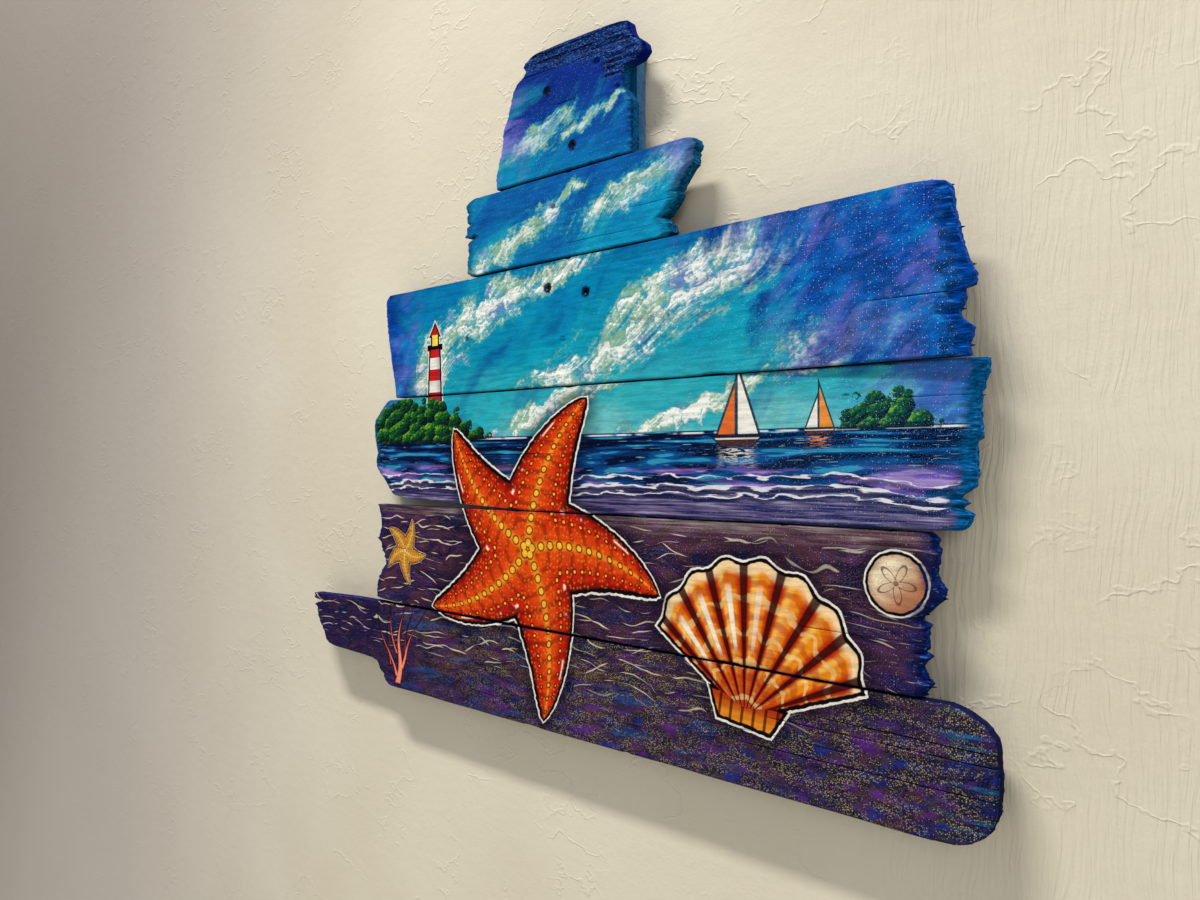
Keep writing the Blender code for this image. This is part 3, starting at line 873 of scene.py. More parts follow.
def ripples(g, color, share):
    """Long, thin strokes of light that swell and taper, as sun through water leaves on sand."""
    strokes = []
    for pitch, slope, seed in ((14.0, 0.08, 0.0), (19.0, -0.12, 40.0)):
        bent = g.z + g.x * slope + (g.noise(g.x / 88 + seed, g.z / 55, detail=1) - 0.5) * 36
        lane = bent / pitch
        row = g.math("FLOOR", lane)
        wave = (g.noise(g.x / 30 + row * 5.17, row * 1.71 + seed, detail=1) - 0.5) * 7
        gap = abs((g.math("FRACT", lane) - 0.5) * pitch + wave)
        swell = g.noise(g.x / 34 + row * 9.31, row * 3.7 + seed, detail=1)
        half = g.least(g.math("POWER", g.most(swell - 0.48, 0.0) * 3.4, 1.8) * 1.9, 0.62)
        strokes.append(g.smooth(gap, half + 0.34, half - 0.10) * g.smooth(swell, 0.48, 0.56))
        color = g.coats(color, (gap - half, 5.5, 0.5, 0.22, (4, 4, 24)))
    fleck = g.spots(2.6, 1.4)
    return g.coats(color, (fleck, 0.16, 0.36, g.most(*strokes) * share, (226, 210, 186)))


def glitter(g, color, amount, tint, share=0.16):
    """Glitter in the varnish: fine dust, and bright flecks in a share of the cells."""
    gap, lot = g.cells(g.x / 1.8, g.z / 1.8)
    flecks = g.smooth(gap, 0.20, 0.10) * g.smooth(lot, 1.0 - share, 1.0) * amount
    dust = g.smooth(g.spots(0.9, 0.9, detail=1), 0.54, 0.70) * amount
    return g.mix(g.least(flecks * 1.5, 0.92), g.mix(dust * 0.45, color, tint), (238, 240, 240))


def outlined(g, color, inside, shade, chalk, ink):
    """A soft shade, a white line and an ink line round a shape, each between two distances."""
    return g.coats(color, (inside, *shade, SHADE), (inside, *chalk, 1, CHALK),
                   (inside, *ink, 1, INK))


def star(g, color, place, radius, turn, curl, palette):
    """A starfish with curling arms, beaded ridges, an ink line and a white line round it."""
    arm, scale = 2 * math.pi / 5, radius / 170
    u, v = g.x - place[0], g.z - place[1]
    far = g.length(u, v)
    angle = g.math("ARCTAN2", v, u) + far * (curl / radius) - math.radians(turn)
    folded = g.math("WRAP", angle, arm / 2, -arm / 2)
    along, across = far * g.math("COSINE", folded), far * g.math("SINE", folded)
    left_over = 1 - along / radius
    half = (g.math("POWER", g.most(left_over, 0.0), 0.70) * (0.335 * radius)
            + g.least(left_over, 0.0) * radius)
    inside = half - abs(across) + (g.spots(8, 8) - 0.5) * (0.018 * radius)
    color = outlined(g, color, inside, (-28 * scale, -2 * scale, 0.66),
                     (-4.6 * scale, -3.9 * scale), (-2.7 * scale, -2.0 * scale))
    share = abs(across) / g.most(half, 1.0)
    fold = g.math("SINE", along / (2.7 * scale) + share * 2.4)
    grit, lot = g.cells(g.x / (4.6 * scale), g.z / (4.6 * scale))
    flesh = g.coats(
        g.blend(share, 1.0, 0.66, palette["edge"], palette["flesh"]),
        (share, 0.66, 0.10, 0.80, palette["light"]),
        (fold, -0.25, -0.95, 0.50, palette["edge"]),
        (share, 0.15, 0.03, 0.8, palette["ridge"]),
        (grit, 0.34, 0.2, g.smooth(lot, 0.35, 0.5) * 0.35, palette["ridge"]))
    for pitch, lane, size, phase in ((13.0, 0.0, 4.3, 0.0), (10.5, 0.56, 2.5, 0.4)):
        cell = (g.math("FRACT", along / (pitch * scale) + phase) - 0.5) * (pitch * scale)
        gap = g.length(cell, abs(across) - half * lane)
        bead = g.math("POWER", g.most(left_over, 0.02), 0.45) * (size * scale)
        flesh = g.coats(flesh,
                        (gap, bead + 1.6 * scale, bead + 0.7 * scale, 0.85, palette["edge"]),
                        (gap, bead, bead - 1.0 * scale, 1, palette["dot"]))
    gloss = (g.band(share, 0.74, 0.82, 0.03) * g.smooth(across, 0.0, 3.0)
             * g.smooth(left_over, 0.05, 0.2))
    streaks = g.noise(along / (24 * scale), 0.5)
    flesh = g.coats(flesh, (streaks, 0.50, 0.56, gloss * 0.95, (255, 238, 222)))
    return g.blend(inside, 0.8 * scale, 2.0 * scale, color, flesh)


def scallop(g, color):
    """A ribbed scallop shell in orange, gold and cream, outlined as the starfish is."""
    hinge, size, turn = SHELL
    cosine, sine = math.cos(math.radians(turn)), math.sin(math.radians(turn))
    u, v = g.x - hinge[0], g.z - hinge[1]
    ahead, aside = u * cosine + v * sine, v * cosine - u * sine
    far, angle = g.length(ahead, aside), g.math("ARCTAN2", aside, ahead)
    rib, lean = (g.math(kind, angle * SHELL_RIBS) for kind in ("COSINE", "SINE"))
    rim = (1 - angle * angle * 0.13) * g.line(rib, 0.020, 1.0) * size
    fan = g.least(rim - far, (1.08 - abs(angle)) * far)
    ears = g.least(g.line(ahead, 0.5, 0.22 * size) - abs(aside),
                   0.085 * size - abs(ahead - 0.035 * size))
    inside = g.most(fan, ears) + (g.spots(8, 8) - 0.5) * 2.6
    color = outlined(g, color, inside, (-28, -2, 0.66), (-4.8, -4.0), (-2.6, -1.9))
    reach = far / rim
    wave = g.math("SINE", g.line(reach, 31.0, (g.spots(20, 20) - 0.5) * 4))
    shine = g.band(reach, 0.44, 0.82, 0.05) * g.smooth(angle, -0.4, 0.3)
    body = g.coats(
        g.blend(rib, -0.7, 0.6, (196, 52, 8), (246, 146, 26)),
        (lean, 0.1, 0.9, g.smooth(rib, -0.6, 0.4) * 0.7, (255, 206, 96)),
        (reach, 0.60, 0.06, 0.85, (172, 26, 8)),
        (wave, 0.35, 0.9, 0.55, (190, 40, 8)),
        (wave, -0.75, -0.95, 0.5, (255, 224, 150)),
        (reach, 0.90, 0.97, 0.80, (255, 230, 182)),
        (rib, -0.62, -0.86, 0.95, (58, 10, 8)),
        (rib, 0.70, 0.92, shine * 0.90, (255, 248, 230)))
    ear = g.coats(g.blend(ahead, -6.0, 14.0, (240, 150, 36), (186, 60, 12)),
                  (g.math("SINE", aside * 0.5), 0.5, 0.9, 0.85, (70, 14, 8)))
    body = g.blend(fan - ears, -1.0, 1.0, ear, body)
    return g.blend(inside, 0.8, 2.0, color, body)


def sand_dollar(g, color, place, radius):
    """A pale sand dollar with its five-petalled flower."""
    u, v = g.x - place[0], g.z - place[1]
    far, angle = g.length(u, v), g.math("ARCTAN2", v, u)
    inside = radius - far + (g.spots(7, 7) - 0.5) * 2
    color = outlined(g, color, inside, (-16, -2, 0.6), (-4.0, -3.3), (-2.3, -1.6))
    pit = g.spots(1.8, 1.8)
    petal = g.math("COSINE", angle * 5.0 + 0.9) * (0.26 * radius) + 0.42 * radius
    disc = g.coats(
        g.blend(u - v, -radius, radius, (252, 236, 200), (186, 128, 92)),
        (inside, radius * 0.30, 0.0, 0.6, (160, 96, 70)),
        (pit, 0.56, 0.70, 0.45, (150, 100, 74)),
        (abs(far - petal), 1.9, 0.7, 0.8, (120, 62, 44)),
        (far, 3.0, 1.6, 0.8, (120, 62, 44)))
    return g.blend(inside, 0.2, 1.2, color, disc)


def coral(g, color, foot, height):
    """A sprig of pink coral: wavering branches that thin towards their tips."""
    up, across = g.line(g.z, 1 / height, -foot[1] / height), g.x - foot[0]
    sway = g.math("SINE", up * 7.0)
    branches = []
    for start, lean, low, high, thick in (
            (0, 0.10, 0.0, 1.0, 4.6), (-4, -0.55, 0.10, 0.72, 3.6), (5, 0.62, 0.22, 0.85, 3.8),
            (-2, -0.30, 0.42, 0.96, 3.0), (16, 0.20, 0.36, 0.70, 2.8),
            (-20, -0.02, 0.24, 0.55, 2.6)):
        middle = (up - low) * (lean * height) + sway * 4.0 + start
        branch = (high - up) * (thick * 1.3) + 0.4 - abs(across - middle)
        branches.append(g.least(branch, g.line(up, height, -low * height)))
    inside = g.most(*branches)
    twig = g.blend(inside, 0.2, 3.0, (216, 78, 70), (255, 160, 128))
    return g.coats(color, (inside, -2.4, -1.2, 0.8, (30, 8, 20)), (inside, 0.0, 0.8, 1, twig))


def picture_1(g):
    color = clouds(g, sky(g), ((-78, 292, 56, 13), (10, 296, 44, 7)), 0.42)
    # The worn crest: dark navy and blue streaks along the grain, with pale blue flecks as painted
    # highlight on its rough fibres.
    crest = g.coats(
        g.blend(g.spots(26, 2.2, detail=4, rough=0.6), 0.38, 0.62, (0, 14, 78), (0, 66, 158)),
        (g.spots(3.4, 1.2), 0.60, 0.70, 0.75, (128, 176, 226)))
    color = g.coats(
        color,
        (g.x, -72, -126, g.smooth(g.wisp, 0.38, 0.56) * 0.75, (132, 112, 206)),
        (g.z + g.x * 0.2, 286, 240, 0.55, (0, 142, 188)),
        (g.z + g.x * 0.15, 326, 356, 0.85, (0, 42, 138)),
        (g.attribute("crest"), 0.2, 0.8, 1, crest))
    return glitter(g, color, 0.30, (90, 140, 210))


def picture_2(g):
    color = clouds(g, sky(g), ((72, 206, 70, 15), (-122, 172, 74, 15), (-40, 214, 44, 7)), 0.72)
    lilac = g.smooth(g.x + g.z * 0.6, 236, 286)
    color = g.coats(color, (g.x * 0.5 - g.z, -186, -120, 0.62, (0, 162, 202)),
                    (g.wisp, 0.38, 0.52, lilac * 0.7, (140, 122, 214)))
    return glitter(g, color, 0.22, (110, 190, 230))


def picture_3(g):
    puffs = ((-176, 98, 100, 24), (176, 104, 130, 30), (40, 34, 124, 22), (-296, 20, 84, 18),
             (330, 24, 84, 26), (-30, 132, 70, 12))
    color = dusk(g, clouds(g, sky(g), puffs), -372, 425)
    color = bare_strip(g, color, 402, 0.0, (0, 78, 164))
    east = g.smooth(g.x, 60, 330) * 0.7 + 0.12
    return lighthouse(g, glitter(g, color, east, (60, 150, 230)))


def picture_4(g):
    color = clouds(g, sky(g), ((-40, -20, 110, 14), (170, -28, 130, 11)))
    color = surf(g, sea(g, dusk(g, color, -430, 460, 0.45)))
    crowns = (g.noise(g.x / 26, 0.3) - 0.5) * 26
    hill = g.smooth(g.x, -96, -262) * 72 + (HORIZON - 22) + crowns
    color = trees(g, lighthouse(g, color), hill, g.smooth(g.x, -250, -110) * 4 + (HORIZON - 6))
    islet = g.smooth(abs(g.x - 352), 78, 6) * 54 + (HORIZON - 26)
    color = trees(g, color, islet, HORIZON - 3)
    color = sailboat(g, color, (206, -66), 60, (248, 244, 232), (240, 112, 20))
    color = sailboat(g, color, (292, -58), 35, (244, 150, 30), (248, 244, 232))
    color = glitter(g, color, g.smooth(g.x, 60, 360) * 0.6 + 0.1, (70, 150, 230))
    return star(g, bare_strip(g, color, 432, -0.14, (12, 100, 168)), *BIG_STAR)


def picture_5(g):
    beach = g.spots(80, 3, detail=4, rough=0.6)
    pale = g.blend(beach, 0.4, 0.6, (120, 88, 96), (196, 178, 168))
    maroon = g.noise(g.x / 110 + 5, g.z / 34, detail=3)
    color = g.coats(
        sand(g, 0.0),
        (g.x * 0.9 - g.z, 480, 640, 0.75, (14, 12, 92)),
        (g.z + (beach - 0.5) * 24 + g.x * 0.012, -162, -140, 0.62, pale),
        (maroon, 0.44, 0.60, 0.55, (82, 40, 58)))
    color = glitter(g, color, g.smooth(g.x, -300, 300) * 0.4 + 0.2, (150, 140, 150))
    light = g.smooth(g.z, -146, -160) * g.line(g.smooth(g.x, 180, 330), -0.35, 0.92)
    color = sand_dollar(g, ripples(g, color, light), (362, -186), 25)
    color = star(g, color, (-322, -204), 46, 40, -0.5, GOLD)
    return star(g, scallop(g, color), *BIG_STAR)


def picture_6(g):
    dab = g.noise((g.x + g.z * 1.6) / 34, (g.z - g.x * 0.22) / 15, detail=4, rough=0.62)
    other = g.noise((g.x - g.z * 1.4) / 38 + 9, (g.z + g.x * 0.25) / 14, detail=4, rough=0.62)
    bright = g.noise((g.x + g.z * 0.8) / 46 + 3, (g.z - g.x * 0.30) / 17, detail=4, rough=0.6)
    flow = g.noise(g.x / 120, (g.z - g.x * 0.12) / 13 + 3, detail=4, rough=0.6)
    violet = g.noise(g.x / 60, g.z / 26 + 6, detail=3)
    low = g.smooth(g.z - g.x * 0.10, -316, -366)
    middle = g.band(g.x, -330, 210, 70)
    east = g.smooth(g.x, 380, 430)
    color = g.coats(
        sand(g, 4.3),
        (dab, 0.48, 0.60, low * 0.85, (8, 14, 66)),
        (other, 0.52, 0.64, low * 0.80, (58, 26, 104)),
        (other, 0.42, 0.32, low * 0.70, (66, 56, 50)),
        (violet, 0.42, 0.56, g.smooth(g.x, -250, -440) * 0.7, (50, 22, 92)),
        (g.x, -190, -420, 0.42, (2, 10, 40)),
        (flow, 0.56, 0.66, middle * 0.75, (10, 72, 140)),
        (g.x, 380, 430, 0.75, (6, 22, 72)),
        (g.spots(110, 6.5), 0.57, 0.64, east * 0.9, (8, 104, 160)))
    color = glitter(g, color, g.smooth(g.x, -360, 260) * 0.45 + 0.35, (110, 110, 140), 0.13)
    olive = g.smooth(dab * 0.5 + other * 0.5, 0.43, 0.56) * g.smooth(g.x, -440, 20)
    speck, shine = g.cells(g.x / 1.5 + 50, g.z / 1.4)
    color = g.coats(color, (bright, 0.55, 0.66, low * 0.75, (24, 44, 138)),
                    (bright, 0.45, 0.35, low * 0.75, (92, 40, 140)))
    color = g.mix(olive * 0.42, color, (38, 34, 26))
    gold = g.smooth(shine, 0.30, 0.85) * olive
    color = g.coats(color, (speck, 0.46, 0.24, gold * 0.90, (196, 178, 104)))
    color = ripples(g, color, g.smooth(g.z, -346, -322) * g.smooth(g.x, 330, 200) * 0.8)
    return star(g, scallop(g, coral(g, color, (-338, -386), 96)), *BIG_STAR)


# For each painted board: its picture, the paint on its edges and the paint on its torn wood.
PAINTED = {
    "board_1": (picture_1, (0, 74, 122), (2, 52, 124)),
    "board_2": (picture_2, (2, 84, 104), (2, 88, 128)),
    "board_3": (picture_3, (6, 66, 118), (0, 72, 168)),
    "board_4": (picture_4, (8, 88, 122), (6, 104, 170)),
    "board_5": (picture_5, (10, 40, 96), (14, 34, 104)),
    "board_6": (picture_6, (14, 18, 60), (34, 30, 96)),
}


def bare_wood(g):
    """Old fence wood that was never painted: grey-brown, with dark grain."""
    line = g.grain(190, 9, 2.4, detail=4, rough=0.6)
    color = g.blend(line, 0.36, 0.62, (70, 56, 44), (146, 124, 100))
    return g.coats(color, (g.grain(420, 30, 22), 0.40, 0.62, 0.55, (104, 98, 90)))


def board_paint(name, screws):
    """The finish of one board: its part of the picture, its edges, wear, painted shade in the
    cracks, the grooves and along the edges and ends, painted shade and highlight on torn wood, and
    the bare back.
    """
    g = Graph(name + "_finish", specular=0.03)
    picture, edge_paint, torn_paint = PAINTED[name]
    color = picture(g)
    for x, z in screws:
        blot = g.length(g.x - x, g.z - z) + (g.spots(3, 3) - 0.5) * 5
        color = g.coats(color, (blot, 7.6, 5.4, 0.85, (0, 22, 74)))
    tone = g.spots(26, 5, detail=3)
    fibre, rift = g.grain(22, 3.2, 1.8, detail=3), g.grain(34, 6.0, 3.4)
    edge, torn, depth = (g.attribute(kind) for kind in ("edge", "torn", "depth"))
    # Torn wood: its paint is darker in the fibres' hollows and along thin dark splits, as painted
    # shade, and paler on the fibre tips, as painted highlight.
    ragged = g.coats(
        g.blend(fibre, 0.34, 0.62, darker(torn_paint, 0.62), torn_paint),
        (abs(rift - 0.5), 0.030, 0.008, 0.6, (0, 8, 40)),
        (fibre, 0.60, 0.72, 0.55, (70, 150, 210)))
    # Painted shade in the cracks, and the knots' own darker wood.
    dark = g.most(g.attribute("crack"), g.attribute("knot") * g.smooth(fibre, 0.40, 0.62) * 0.55)
    side = g.blend(fibre, 0.34, 0.62, darker(edge_paint, 0.52), edge_paint)
    if name == "board_1":
        side = g.blend(g.z, 340, 346, side, (4, 16, 92))
    else:
        side = g.blend(torn, 0.35, 0.8, side, ragged)
    back = g.coats(bare_wood(g), (edge + (tone - 0.5) * 26, 10, 2, 0.8, edge_paint))
    color = g.coats(
        g.blend(tone, 0.34, 0.62, g.mix(0.20, color, (0, 4, 30)), color),
        # Painted shade: the face is darker within a few mm of its edges and ends, along the gaps
        # between the boards.
        (edge, 3.6, 0.4, 0.35, (0, 10, 40)),
        # Painted shade: darker where the grain grooves and the crest's ridges sink the face.
        (g.attribute("groove"), 0.14, 0.60, 0.38, (0, 8, 34)),
        (torn + (fibre - 0.5) * 1.2, 0.30, 0.95, 0.62, ragged),
        (dark, 0.1, 0.7, 0.9, (2, 6, 24)),
        (depth, 1.8, 3.6, 1, side),
        (depth, 14.6, 15.5, 1, back))
    brush = g.noise(g.x / 44 + g.z / 60, g.z / 1.9, detail=3)
    pores = g.grain(70, 3.0, 0.9, detail=3)
    height = brush * 0.16 + pores * 0.18 + fibre * g.smooth(torn, 0.2, 0.8) * 0.5
    roughness = g.most(g.line(tone, 0.26, 0.46), g.smooth(depth, 1.2, 3.4) * 0.95, torn * 0.75)
    return g.finish(color, roughness, height)


def backer_paint():
    """The upright backing board: teal front and edges, and a bare rear with runs of paint."""
    g = Graph("backer_finish", specular=0.06)
    line, fine = g.grain(9, 9, 190, detail=4, rough=0.6), g.grain(2.4, 5, 120, detail=3)
    brush, stain = g.grain(4.5, 12, 46, detail=3), g.grain(26, 30, 40, detail=3)
    edge, behind = g.attribute("edge"), g.smooth(g.attribute("depth"), 14.0, 15.2)
    teal = g.coats(g.blend(brush, 0.36, 0.64, (0, 70, 118), (2, 108, 152)),
                   (fine, 0.46, 0.34, 0.5, (6, 34, 60)))
    run = g.spots(7, 36, detail=3)
    wood = g.coats(
        g.blend(line + (fine - 0.5) * 0.6, 0.36, 0.64, (84, 66, 50), (158, 134, 104)),
        (stain, 0.50, 0.66, 0.4, (96, 92, 88)),
        (edge + (run - 0.5) * 22, 6.5, 4.5, 0.9, teal))
    color = g.coats(g.mix(behind, teal, wood), (edge, 1.8, 0.2, 0.35, (30, 26, 26)))
    return g.finish(color, g.line(behind, 0.25, 0.66), (line + fine * 0.6) * 0.35)


def metal(name, color, worn, rust, roughness):
    """Metal with a dull film, scratches and a little rust or old paint."""
    g = Graph(name, roughness=roughness, metallic=0.9)
    film = g.grain(3.0, 3.0, 3.0, detail=4, rough=0.6)
    fine = g.grain(0.5, 0.9, 0.25, detail=3)
    tone = g.coats(g.blend(film, 0.38, 0.62, color, worn),
                   (film + (fine - 0.5) * 0.5, 0.56, 0.68, 0.8, rust))
    return g.finish(tone, g.line(film, 0.35, roughness - 0.15), (fine + film * 2) * 0.03,
                    g.smooth(film, 0.70, 0.52) * 0.95)


def hanger_zinc():
    g = Graph("hanger_metal", roughness=0.4, metallic=0.95)
    flake, lot = g.cells(g.x / 3.2, g.z / 2.4)
    rolled = g.grain(14, 1, 0.5, detail=3)
    tone = g.coats(g.mix(lot * 0.6, (150, 154, 158), (198, 200, 200)),
                   (rolled, 0.56, 0.72, 0.4, (116, 112, 104)))
    return g.finish(tone, g.line(lot, 0.18, 0.30), (rolled + flake * 0.3) * 0.04)


def drilled(name, dark, light):
    """The inside of drilled holes and of the recess."""
    g = Graph(name, roughness=0.8, specular=0.25)
    ring = g.grain(8, 1.2, 8, detail=3)
    return g.finish(g.blend(ring, 0.38, 0.62, dark, light), g.line(ring, 0.2, 0.7), ring * 0.2)


def plaster():
    """Cream trowelled plaster, with painted shade that darkens it towards the left, the top and
    most towards the upper left. It is clear from behind, and to light that falls on the rear.
    """
    g = Graph("plaster", roughness=0.75, specular=0.3)
    tone = g.coats(
        g.blend(g.spots(420, 420), 0.3, 0.7, (230, 222, 202), (222, 213, 190)),
        # Painted shade: darker towards the left, the top and the upper left, where less of the
        # lamp's light falls.
        (g.x, -250, -1500, 0.8, (186, 177, 172)), (g.z, 150, 900, 0.30, (176, 166, 150)),
        (g.x - g.z * 0.9, -500, -2600, 0.75, (138, 128, 120)))
    swirl = g.spots(95, 70, detail=4, rough=0.55)
    here = g.smooth(g.noise(g.x / 120, g.z / 120 + 9), 0.46, 0.62)
    ridge = g.smooth(abs(swirl - 0.5), 0.022, 0.0) * here
    sweep = g.x + (g.spots(90, 120) - 0.5) * 26
    drag = g.smooth(g.noise(sweep / 3.6, g.z / 80, detail=3), 0.36, 0.64)
    drag = drag * g.band(g.x, 300, 640, 110)
    height = (ridge * 0.34 + g.spots(24, 16, detail=4) * 0.40 + drag * 0.30
              + g.spots(3.0, 3.0) * 0.14)
    finish = g.finish(tone, None, height)
    path = g.node("ShaderNodeLightPath").outputs
    behind = Field(g, g.node("ShaderNodeNewGeometry").outputs["Backfacing"])
    first_shadow = g.least(Field(g, path["Is Shadow Ray"]),
                           g.smooth(Field(g, path["Diffuse Depth"]), 0.9, 0.1))
    choose = g.node("ShaderNodeMixShader")
    g.feed(choose.inputs[0], g.most(behind, first_shadow))
    clear = g.node("ShaderNodeBsdfTransparent").outputs[0]
    surface = g.tree.nodes["Material Output"].inputs["Surface"]
    for out, into in ((g.shader.outputs[0], choose.inputs[1]), (clear, choose.inputs[2]),
                      (choose.outputs[0], surface)):
        g.tree.links.new(out, into)
    return finish


def pale_floor():
    g = Graph("pale_floor", roughness=0.6)
    tone = g.noise(g.x / 500, g.y / 500, detail=3)
    return g.finish(g.mix(tone, (206, 202, 192), (222, 219, 211)))


# ---------------------------------------------------------------- metal parts and drilled holes

# A screw hole, in mm: how far its head lies below the face, and the radii at its mouth and below.
SINK, MOUTH, BORE = 1.6, 6.05, 2.5
# The hanger's recess, in mm: half its width, its depth, half its height and its corner radius.
RECESS = (39, 3.4, 13.5, 3.0)
# The thread, in mm: pitch, radius at the root and at the crest.
PITCH, ROOT, CREST = 1.9, 1.35, 2.1


def linked(name, mesh, finish=None):
    """Puts a mesh in the scene as an object with a finish."""
    made = bpy.data.objects.new(name, mesh)
    if finish:
        mesh.materials.append(finish)
    bpy.context.scene.collection.objects.link(made)
    return made


def built(name, bm, finish):
    """Turns a draft in mm into an object in metres."""
    bmesh.ops.scale(bm, vec=(MM, MM, MM), verts=bm.verts[:])
    mesh = bpy.data.meshes.new(name)
    bm.to_mesh(mesh)
    bm.free()
    return linked(name, mesh, finish)


def turned(name, profile, centre, facing, finish, sides=40):
    """A round piece turned about Y from (depth, radius) pairs, in mm. Facing 1 runs to the wall."""
    bm = bmesh.new()
    x, y, z = centre
    rings = []
    for depth, radius in profile:
        turns = [2 * math.pi * i / sides for i in range(sides)] if radius else [0]
        rings.append([bm.verts.new((x + radius * math.cos(turn), y + facing * depth,
                                    z + radius * math.sin(turn))) for turn in turns])
    for near, far in zip(rings, rings[1:]):
        for i in range(sides):
            j = (i + 1) % sides
            if len(near) == 1:
                bm.faces.new((near[0], far[j], far[i]))
            elif len(far) == 1:
                bm.faces.new((near[i], near[j], far[0]))
            else:
                bm.faces.new((near[i], near[j], far[j], far[i]))
    for ring in (rings[0], rings[-1]):
        if len(ring) > 1:
            bm.faces.new(ring)
    bmesh.ops.recalc_face_normals(bm, faces=bm.faces[:])
    made = built(name, bm, finish)
    made.data.shade_smooth()
    made.data.set_sharp_from_angle(angle=math.radians(38))
    return made


def recess(node, finish):
    """A cutter for a recess round a node, open to the rear, with rounded corners."""
    x, z, _, _ = middle_of(node)
    half_width, deep, half_height, corner = RECESS
    low, high = (x - half_width, -deep, z - half_height), (x + half_width, 1, z + half_height)
    bm = bmesh.new()
    bmesh.ops.create_cube(bm, size=1.0)
    bmesh.ops.scale(bm, vec=[b - a for a, b in zip(low, high)], verts=bm.verts[:])
    across = [edge for edge in bm.edges if abs(edge.verts[0].co.y - edge.verts[1].co.y) > 0.1]
    bmesh.ops.bevel(bm, geom=across, offset=corner, segments=3, affect="EDGES")
    bmesh.ops.translate(bm, vec=[(a + b) / 2 for a, b in zip(low, high)], verts=bm.verts[:])
    return built("recess", bm, finish)


def carve(target, cutters, solver="MANIFOLD", use_self=False):
    """Cuts the cutters out of the target, for good, and removes them."""
    for cutter in cutters:
        modifier = target.modifiers.new(cutter.name, "BOOLEAN")
        modifier.operation, modifier.solver, modifier.object = "DIFFERENCE", solver, cutter
        modifier.use_self = use_self
    view = bpy.context.evaluated_depsgraph_get()
    old, name = target.data, target.data.name
    target.data = bpy.data.meshes.new_from_object(target.evaluated_get(view))
    target.modifiers.clear()
    bpy.data.meshes.remove(old)
    target.data.name = name
    for cutter in cutters:
        bpy.data.objects.remove(cutter, do_unlink=True)


def middle_of(node):
    """Centre of a node's box in X and Z, with its lowest and highest Y, in mm."""
    low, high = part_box(node)
    return (low.x + high.x) / 2 / MM, (low.z + high.z) / 2 / MM, low.y / MM, high.y / MM


def dress(piece, node):
    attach(piece, BODY)
    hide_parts(node)


def add_screw(node, finish):
    """A countersunk cross-head wood screw with a threaded shank."""
    x, z, low_y, high_y = middle_of(node)
    facing, head_y = (1, low_y) if "front" in node else (-1, high_y)
    length = high_y - low_y
    profile = [(0.22, 0), (0.16, 2.4), (0.06, 3.9), (0.10, 4.25), (0.35, 4.4), (0.7, 4.3),
               (3.9, 2.2), (5.2, 1.75), (8.5, 1.7)]
    depth = profile[-1][0]
    while depth < length - 6:
        profile += [(depth + 0.55, ROOT), (depth + 0.95, CREST), (depth + 1.35, ROOT)]
        depth += PITCH
    profile += [(length - 3.5, 1.3), (length - 0.1, 0.25), (length, 0)]
    screw = turned(node + "_turned", profile, (x, head_y, z), facing, finish)
    bm = bmesh.new()
    for wide, tall in ((2.5, 0.5), (0.5, 2.5)):
        for vert in bmesh.ops.create_cube(bm, size=2.0)["verts"]:
            taper, sunk = (0.45, 2.3) if vert.co.y * facing > 0 else (1.0, -0.6)
            vert.co = (x + vert.co.x * wide * taper, head_y + facing * sunk,
                       z + vert.co.z * tall * taper)
    turn = Matrix.Rotation(math.radians((x * 7 + z * 3) % 90), 3, "Y")
    bmesh.ops.rotate(bm, cent=(x, head_y, z), matrix=turn, verts=bm.verts[:])
    carve(screw, [built(node + "_drive", bm, finish)], "EXACT", True)
    dress(screw, node)


def add_pin(node, finish):
    """A small nail with a domed head."""
    x, z, low_y, high_y = middle_of(node)
    length = high_y - low_y
    profile = [(0, 0), (0.05, 0.8), (0.16, 1.4), (0.34, 1.8), (0.5, 1.9), (0.56, 1.7), (0.6, 0.7),
               (length - 1.6, 0.7), (length, 0)]
    pin = turned(node + "_turned", profile, (x, high_y, z), -1, finish, sides=28)
    dress(pin, node)


def screw_holes(board, finish):
    """Cutters for every screw that reaches into this board or the backing board."""
    low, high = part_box(board)
    cutters = []
    for node in SCREWS:
        x, z, low_y, high_y = middle_of(node)
        inside = low.x < x * MM < high.x and low.z < z * MM < high.z
        if not inside or high_y * MM < low.y or low_y * MM > high.y:
            continue
        facing, face_y = (1, low_y - SINK) if "front" in node else (-1, high_y + SINK)
        profile = [(-1.0, MOUTH), (6.0, BORE), (28.0, BORE)]
        cutters.append(turned("hole_" + board + node, profile, (x, face_y, z), facing, finish, 32))
    return cutters


# ---------------------------------------------------------------- wall, floor, light and camera

def add_camera():
    """The photograph's viewing angle: from the front right and a little below, with a wide lens."""
    data = bpy.data.cameras.new("camera")
    camera = bpy.data.objects.new("camera", data)
    bpy.context.scene.collection.objects.link(camera)
    right, up = Vector((0.7488, 0.6628, 0.0)), Vector((0.0099, -0.0112, 0.9999))
    forward = Vector((-0.6627, 0.7487, 0.0149))
    turn = Matrix((right, up, -forward)).transposed().to_4x4()
    camera.matrix_world = Matrix.Translation((0.660, -0.7423, -0.085)) @ turn
    data.lens, data.sensor_width, data.sensor_fit = 26.1, 36.0, "HORIZONTAL"
    data.clip_start = 0.02
    bpy.context.scene.camera = camera


def add_light(name, place, target, size, power, color):
    """A lamp of (length, height). The length is level, so the key light lies along the boards."""
    data = bpy.data.lights.new(name, "AREA")
    data.shape, data.energy, data.color = "RECTANGLE", power, color
    data.size, data.size_y = size
    light = bpy.data.objects.new(name, data)
    light.location = place
    light.rotation_euler = (Vector(target) - Vector(place)).to_track_quat("-Z", "Y").to_euler()
    bpy.context.scene.collection.objects.link(light)


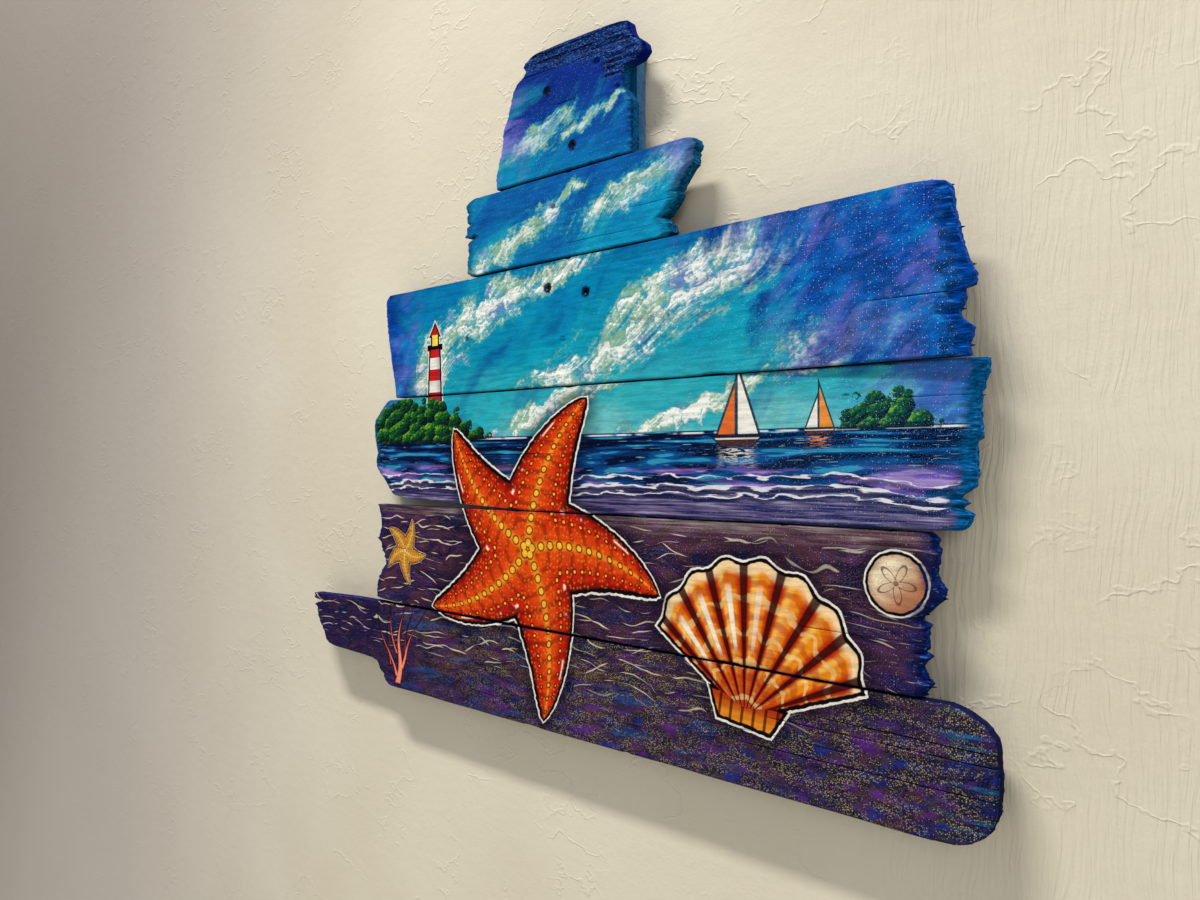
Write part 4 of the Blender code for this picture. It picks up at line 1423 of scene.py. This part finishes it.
def add_stage():
    """Wall and floor, each from one (Y, Z) to another in metres, three lamps and the sky light."""
    left, right, foot = -6.0, 3.5, (0.0012, -1.45)
    for name, start, end, finish in (("wall", foot, (foot[0], 3.0), plaster()),
                                     ("floor", (-5.0, foot[1]), foot, pale_floor())):
        mesh = bpy.data.meshes.new(name)
        mesh.from_pydata([(left, *start), (right, *start), (right, *end), (left, *end)], [],
                         [(0, 1, 2, 3)])
        linked(name, mesh, finish)
    add_light("key", (-0.75, -1.72, 4.0), (-0.75, 0.0, 0.0), (1.9, 0.28), 242, (1.0, 0.98, 0.95))
    add_light("fill", (1.9, -2.2, 0.8), (0.2, 0.0, 0.0), (1.4, 1.4), 14, (0.98, 0.98, 1.0))
    add_light("rear", (1.3, 1.7, 1.9), (0.0, 0.0, 0.0), (1.4, 1.4), 88, (1.0, 1.0, 1.0))
    world = bpy.data.worlds.new("studio")
    world.use_nodes = True
    background = world.node_tree.nodes["Background"].inputs
    background["Color"].default_value = rgb(226, 230, 234)
    background["Strength"].default_value = 0.33
    bpy.context.scene.world = world
    bpy.context.scene.view_settings.view_transform = "Standard"


# ---------------------------------------------------------------- the whole plaque

SCREWS = [node for node in frame["nodes"] if node.startswith("screw_")]

add_camera()
add_stage()

bored = drilled("bored_wood", (46, 34, 26), (104, 80, 56))
painted_hole = drilled("painted_hole", (0, 10, 34), (4, 30, 78))
for number, board in enumerate(BOARDS):
    faced = [middle_of(node)[:2] for node in SCREWS if node.startswith("screw_front_" + board)]
    finish = board_paint(board, faced) if board in PAINTED else backer_paint()
    wood = add_slab(board, 100 * number + 7, finish)
    holes = screw_holes(board, bored if board == "backer" else painted_hole)
    if board == "backer":
        holes.append(recess("hanger", bored))
    carve(wood, holes)
    dress(wood, board)

painted_steel = metal("painted_screw", (10, 26, 58), (20, 40, 74), (120, 118, 112), 0.45)
bare_steel = metal("bare_screw", (150, 146, 138), (112, 108, 102), (108, 66, 40), 0.42)
for node in SCREWS:
    add_screw(node, painted_steel if "front" in node else bare_steel)
pin_steel = metal("pin_metal", (168, 166, 160), (128, 126, 120), (104, 72, 50), 0.38)
for node in ("pin_left", "pin_right"):
    add_pin(node, pin_steel)
frame["nodes"]["hanger"].material_slots[0].material = hanger_zinc()
